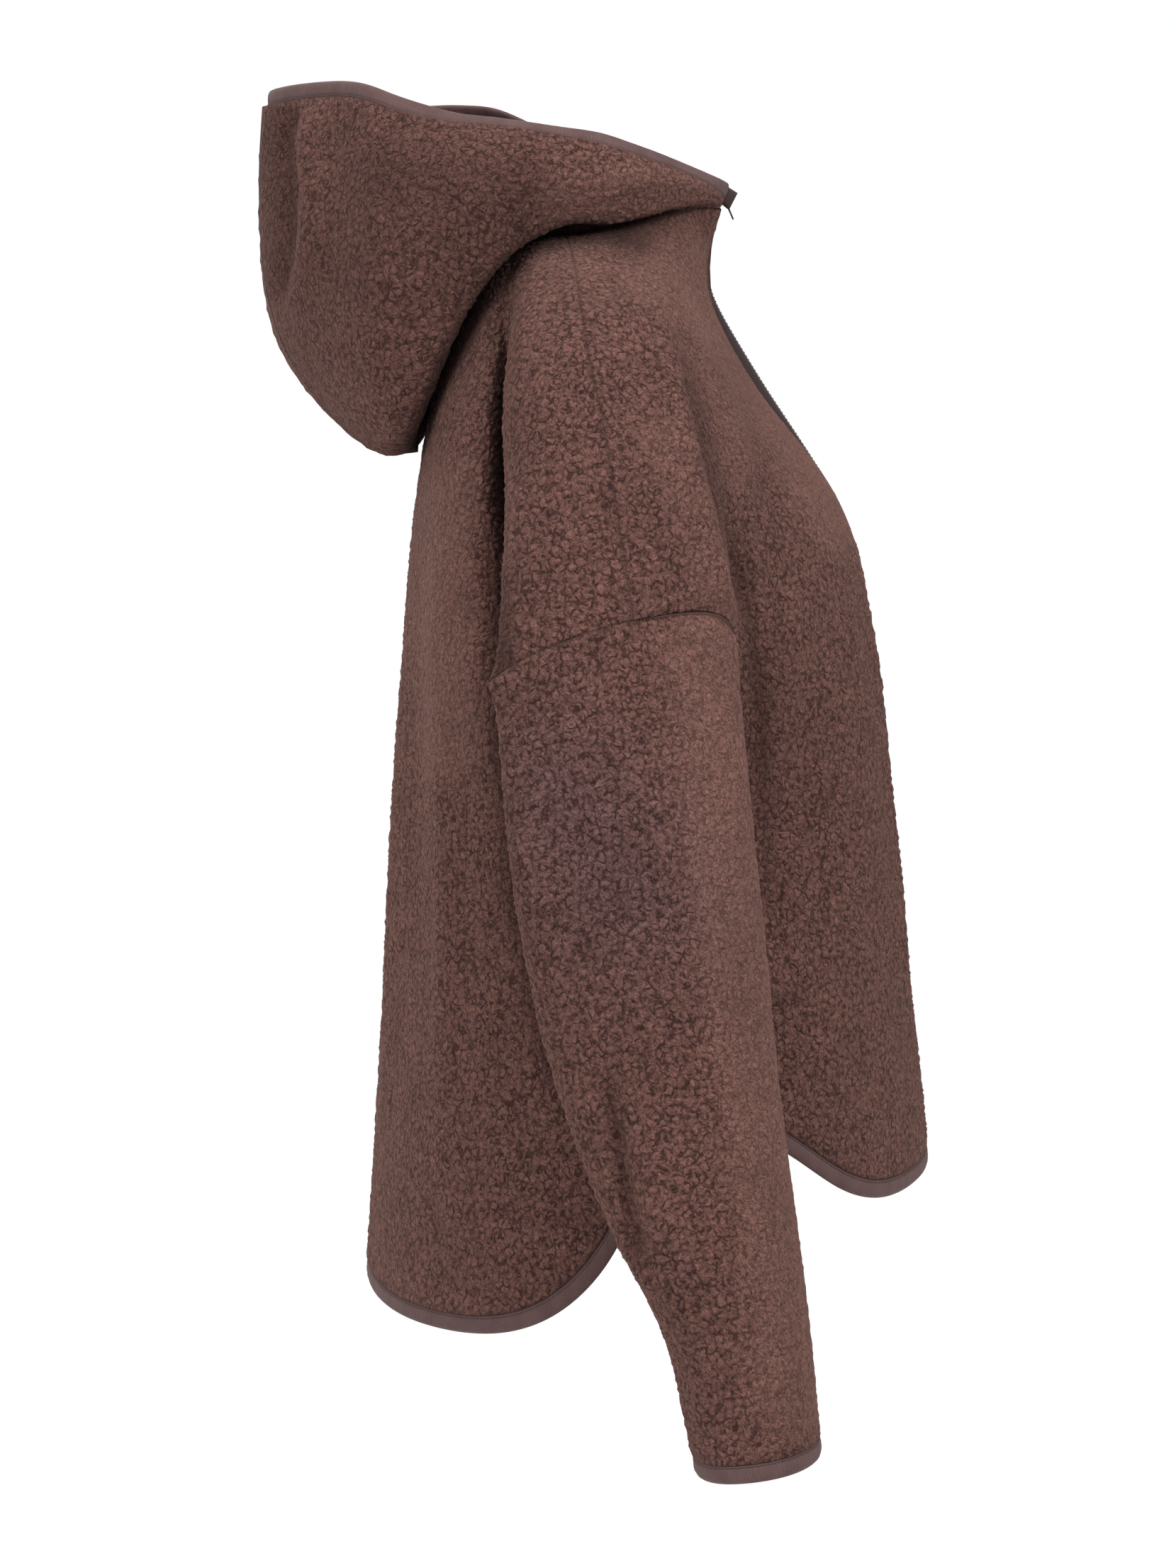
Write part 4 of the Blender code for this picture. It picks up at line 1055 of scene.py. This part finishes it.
# Dark plated metal, worn brighter where it is rubbed.
def metalMaterial(values, name):
    material, maker = newMaterial(name)
    place = maker.objectPlace()
    wear = maker.noise(place, 2.2 * mm, 4.0, 0.65)
    scuffs = maker.noise(place, 0.25 * mm, 2.0, 0.6)
    bright = tuple(channel * values["wornBright"] for channel in values["metalColour"])
    tint = maker.mix(maker.ramp(wear, 0.52, 0.72), values["metalColour"], bright)
    look = {"Roughness": maker.ramp(scuffs, 0.3, 0.7, 0.22, 0.42), "Metallic": 0.95}
    maker.dress(tint, look, maker.times(scuffs, 0.01 * mm), 0.5)
    return material


# One moulded tooth that grips the tape on one side and reaches past the middle.
def toothObject(values, side):
    length, width, height = values["toothSize"]
    shape = bmesh.new()
    bmesh.ops.create_cube(shape, size=1.0)
    for vert in shape.verts:
        inner = vert.co.x * side < 0.0
        vert.co.x = side * length * (-values["toothPast"] if inner else 1.0)
        vert.co.y *= width * (1.0 if inner else values["toothRoot"])
        vert.co.z *= height * (values["toothHead"] if inner else 1.0)
    bmesh.ops.bevel(shape, geom=shape.edges[:], offset=values["toothBevel"], segments=1,
                    profile=0.7, affect="EDGES")
    bmesh.ops.recalc_face_normals(shape, faces=shape.faces[:])
    return bpy.data.objects.new("toothShape", meshOf(shape, "toothShape"))


# Teeth along the chain, from the left tape and the right tape in turn.
def toothTree(values):
    maker, given = newTree("zipTeeth", ("Tooth Step", "Float", values["toothStep"]),
                           ("Left Tooth", "Object", None), ("Right Tooth", "Object", None),
                           ("Tooth Material", "Material", None))
    steps = evenSteps(maker, given, given["Tooth Step"])
    way = maker.add("ShaderNodeSeparateXYZ", Vector=maker.add("GeometryNodeInputTangent").outputs[0])
    turn = maker.add("ShaderNodeCombineXYZ", X=maker.math("ARCTAN2", way.outputs[2], way.outputs[1]))
    parity = maker.math("MODULO", maker.add("GeometryNodeInputIndex").outputs[0], 2.0)
    joined = maker.add("GeometryNodeJoinGeometry")
    for label, wanted in (("Left Tooth", 0.0), ("Right Tooth", 1.0)):
        shape = maker.add("GeometryNodeObjectInfo", Object=given[label])
        row = maker.add("GeometryNodeInstanceOnPoints", Points=steps,
                        Selection=maker.math("COMPARE", parity, wanted, 0.1),
                        Instance=shape.outputs["Geometry"], Rotation=turn.outputs[0])
        maker.wire(row.outputs[0], joined.inputs[0])
    return endTree(maker, joined.outputs[0], given["Tooth Material"])


# A node's shape with its sections rounded, and its edges kept where a corner is given.
def roundedNode(name, newName, levels, corner=None):
    shape = mergedCopy(name)
    if corner is not None:
        layer = shape.edges.layers.float.new("crease_edge")
        for edge in shape.edges:
            if len(edge.link_faces) == 2 and edge.calc_face_angle(0.0) > corner:
                edge[layer] = 0.8
    thing = newThing(newName, meshOf(shape, newName))
    roundOff(thing, levels).materials.clear()
    return thing


def makeChain(values, tape):
    rails = stripRails("zip_chain", values["chainHollow"], lambda place: place[0] < 0.0,
                       lambda place: -place[2])
    rails = [roundPath(rail, False, 2) for rail in rails]
    back = tuple((1.0 - share, -height) for share, height in values["cordFace"])
    cords = stripSkin("zip_cords", rails, values["cordFace"], back, False, np.zeros(len(rails[0])))
    cords.data.materials.append(tape)
    finishPiece(cords, "garment", "zip_tape")
    teeth = pathObject("zip_teeth", [(stripPlace(rails, 0.5, 0.0), False)])
    left, right = toothObject(values, 1.0), toothObject(values, -1.0)
    runTree(teeth, toothTree(values), {"Left Tooth": left, "Right Tooth": right,
                                       "Tooth Material": toothMaterial(values, "brownZipTeeth")})
    finishPiece(teeth, "garment", "zip_teeth", "zip_chain")
    for polygon in teeth.data.polygons:
        polygon.use_smooth = False
    bpy.data.objects.remove(left)
    bpy.data.objects.remove(right)
    print("zip teeth", len(teeth.data.polygons), "faces")


# The end of a tape, turned over beside the slider as a small stiff flap.
def makeTapeEnd(values, name, side, tape):
    cells = values["endCells"]
    first, second, third, fourth = (np.array(corner) * mm for corner in values["endCorners"])
    overSwell, downSwell = values["endSwells"]
    steps = np.linspace(0.0, 1.0, cells + 1)
    corners, faces = [], []
    for layer in (1.0, -1.0):
        for down in steps:
            for over in steps:
                place = ((first * (1 - over) + second * over) * (1 - down)
                         + (fourth * (1 - over) + third * over) * down)
                swell = math.sin(math.pi * over) * overSwell + math.sin(math.pi * down) * downSwell
                out = values["endOut"] + swell + layer * values["endThickness"]
                corners.append((side * out, place[0], place[1]))
    row = cells + 1
    size = row * row
    for down in range(cells):
        for over in range(cells):
            start = down * row + over
            faces.append((start, start + 1, start + row + 1, start + row))
            faces.append((start + size, start + size + row, start + size + row + 1, start + size + 1))
    loop = list(range(row)) + [row * step + cells for step in range(1, row)]
    loop += [row * cells + step for step in range(cells - 1, -1, -1)]
    loop += [row * step for step in range(cells - 1, 0, -1)]
    for here, after in zip(loop, loop[1:] + loop[:1]):
        faces.append((here, here + size, after + size, after))
    mesh = bpy.data.meshes.new(name)
    mesh.from_pydata(corners, [], faces)
    shape = bmesh.new()
    shape.from_mesh(mesh)
    bmesh.ops.recalc_face_normals(shape, faces=shape.faces[:])
    shape.to_mesh(mesh)
    shape.free()
    mesh.materials.append(tape)
    finishPiece(newThing(name, mesh), "garment", "zip_tape")


def makeSlider(values, metal):
    shape = mergedCopy("zip_slider")
    bmesh.ops.dissolve_limit(shape, angle_limit=math.radians(2.0), verts=shape.verts[:],
                             edges=shape.edges[:])
    slider = newThing("zip_slider_body", meshOf(shape, "zip_slider_body"))
    edge = slider.modifiers.new("softEdges", "BEVEL")
    edge.width = values["sliderBevel"]
    edge.segments = 3
    edge.limit_method = "ANGLE"
    edge.angle_limit = values["sliderCorner"]
    settle(slider).materials.clear()
    slider.data.materials.append(metal)
    finishPiece(slider, "garment", "zip_metal", "zip_slider")
    slider.data.set_sharp_from_angle(angle=values["sliderSharp"])
    pull = roundedNode("zip_pull", "zip_pull_wire", 2)
    pull.data.materials.append(metal)
    finishPiece(pull, "pull_tab", "zip_metal", "zip_pull")


tapeCloth = tapeMaterial(zipper, "brownWovenTape")
for sideName, sideWay in (("left", 1.0), ("right", -1.0)):
    tapeName = "zip_tape_" + sideName
    tapeStrip = roundedNode(tapeName, tapeName + "_woven", zipper["tapeLevels"], zipper["tapeCorner"])
    tapeStrip.data.materials.append(tapeCloth)
    finishPiece(tapeStrip, "garment", "zip_tape", tapeName)
    makeTapeEnd(zipper, "zip_tape_end_" + sideName, sideWay, tapeCloth)
makeChain(zipper, tapeCloth)
makeSlider(zipper, metalMaterial(zipper, "darkPlatedMetal"))
print("zip made")
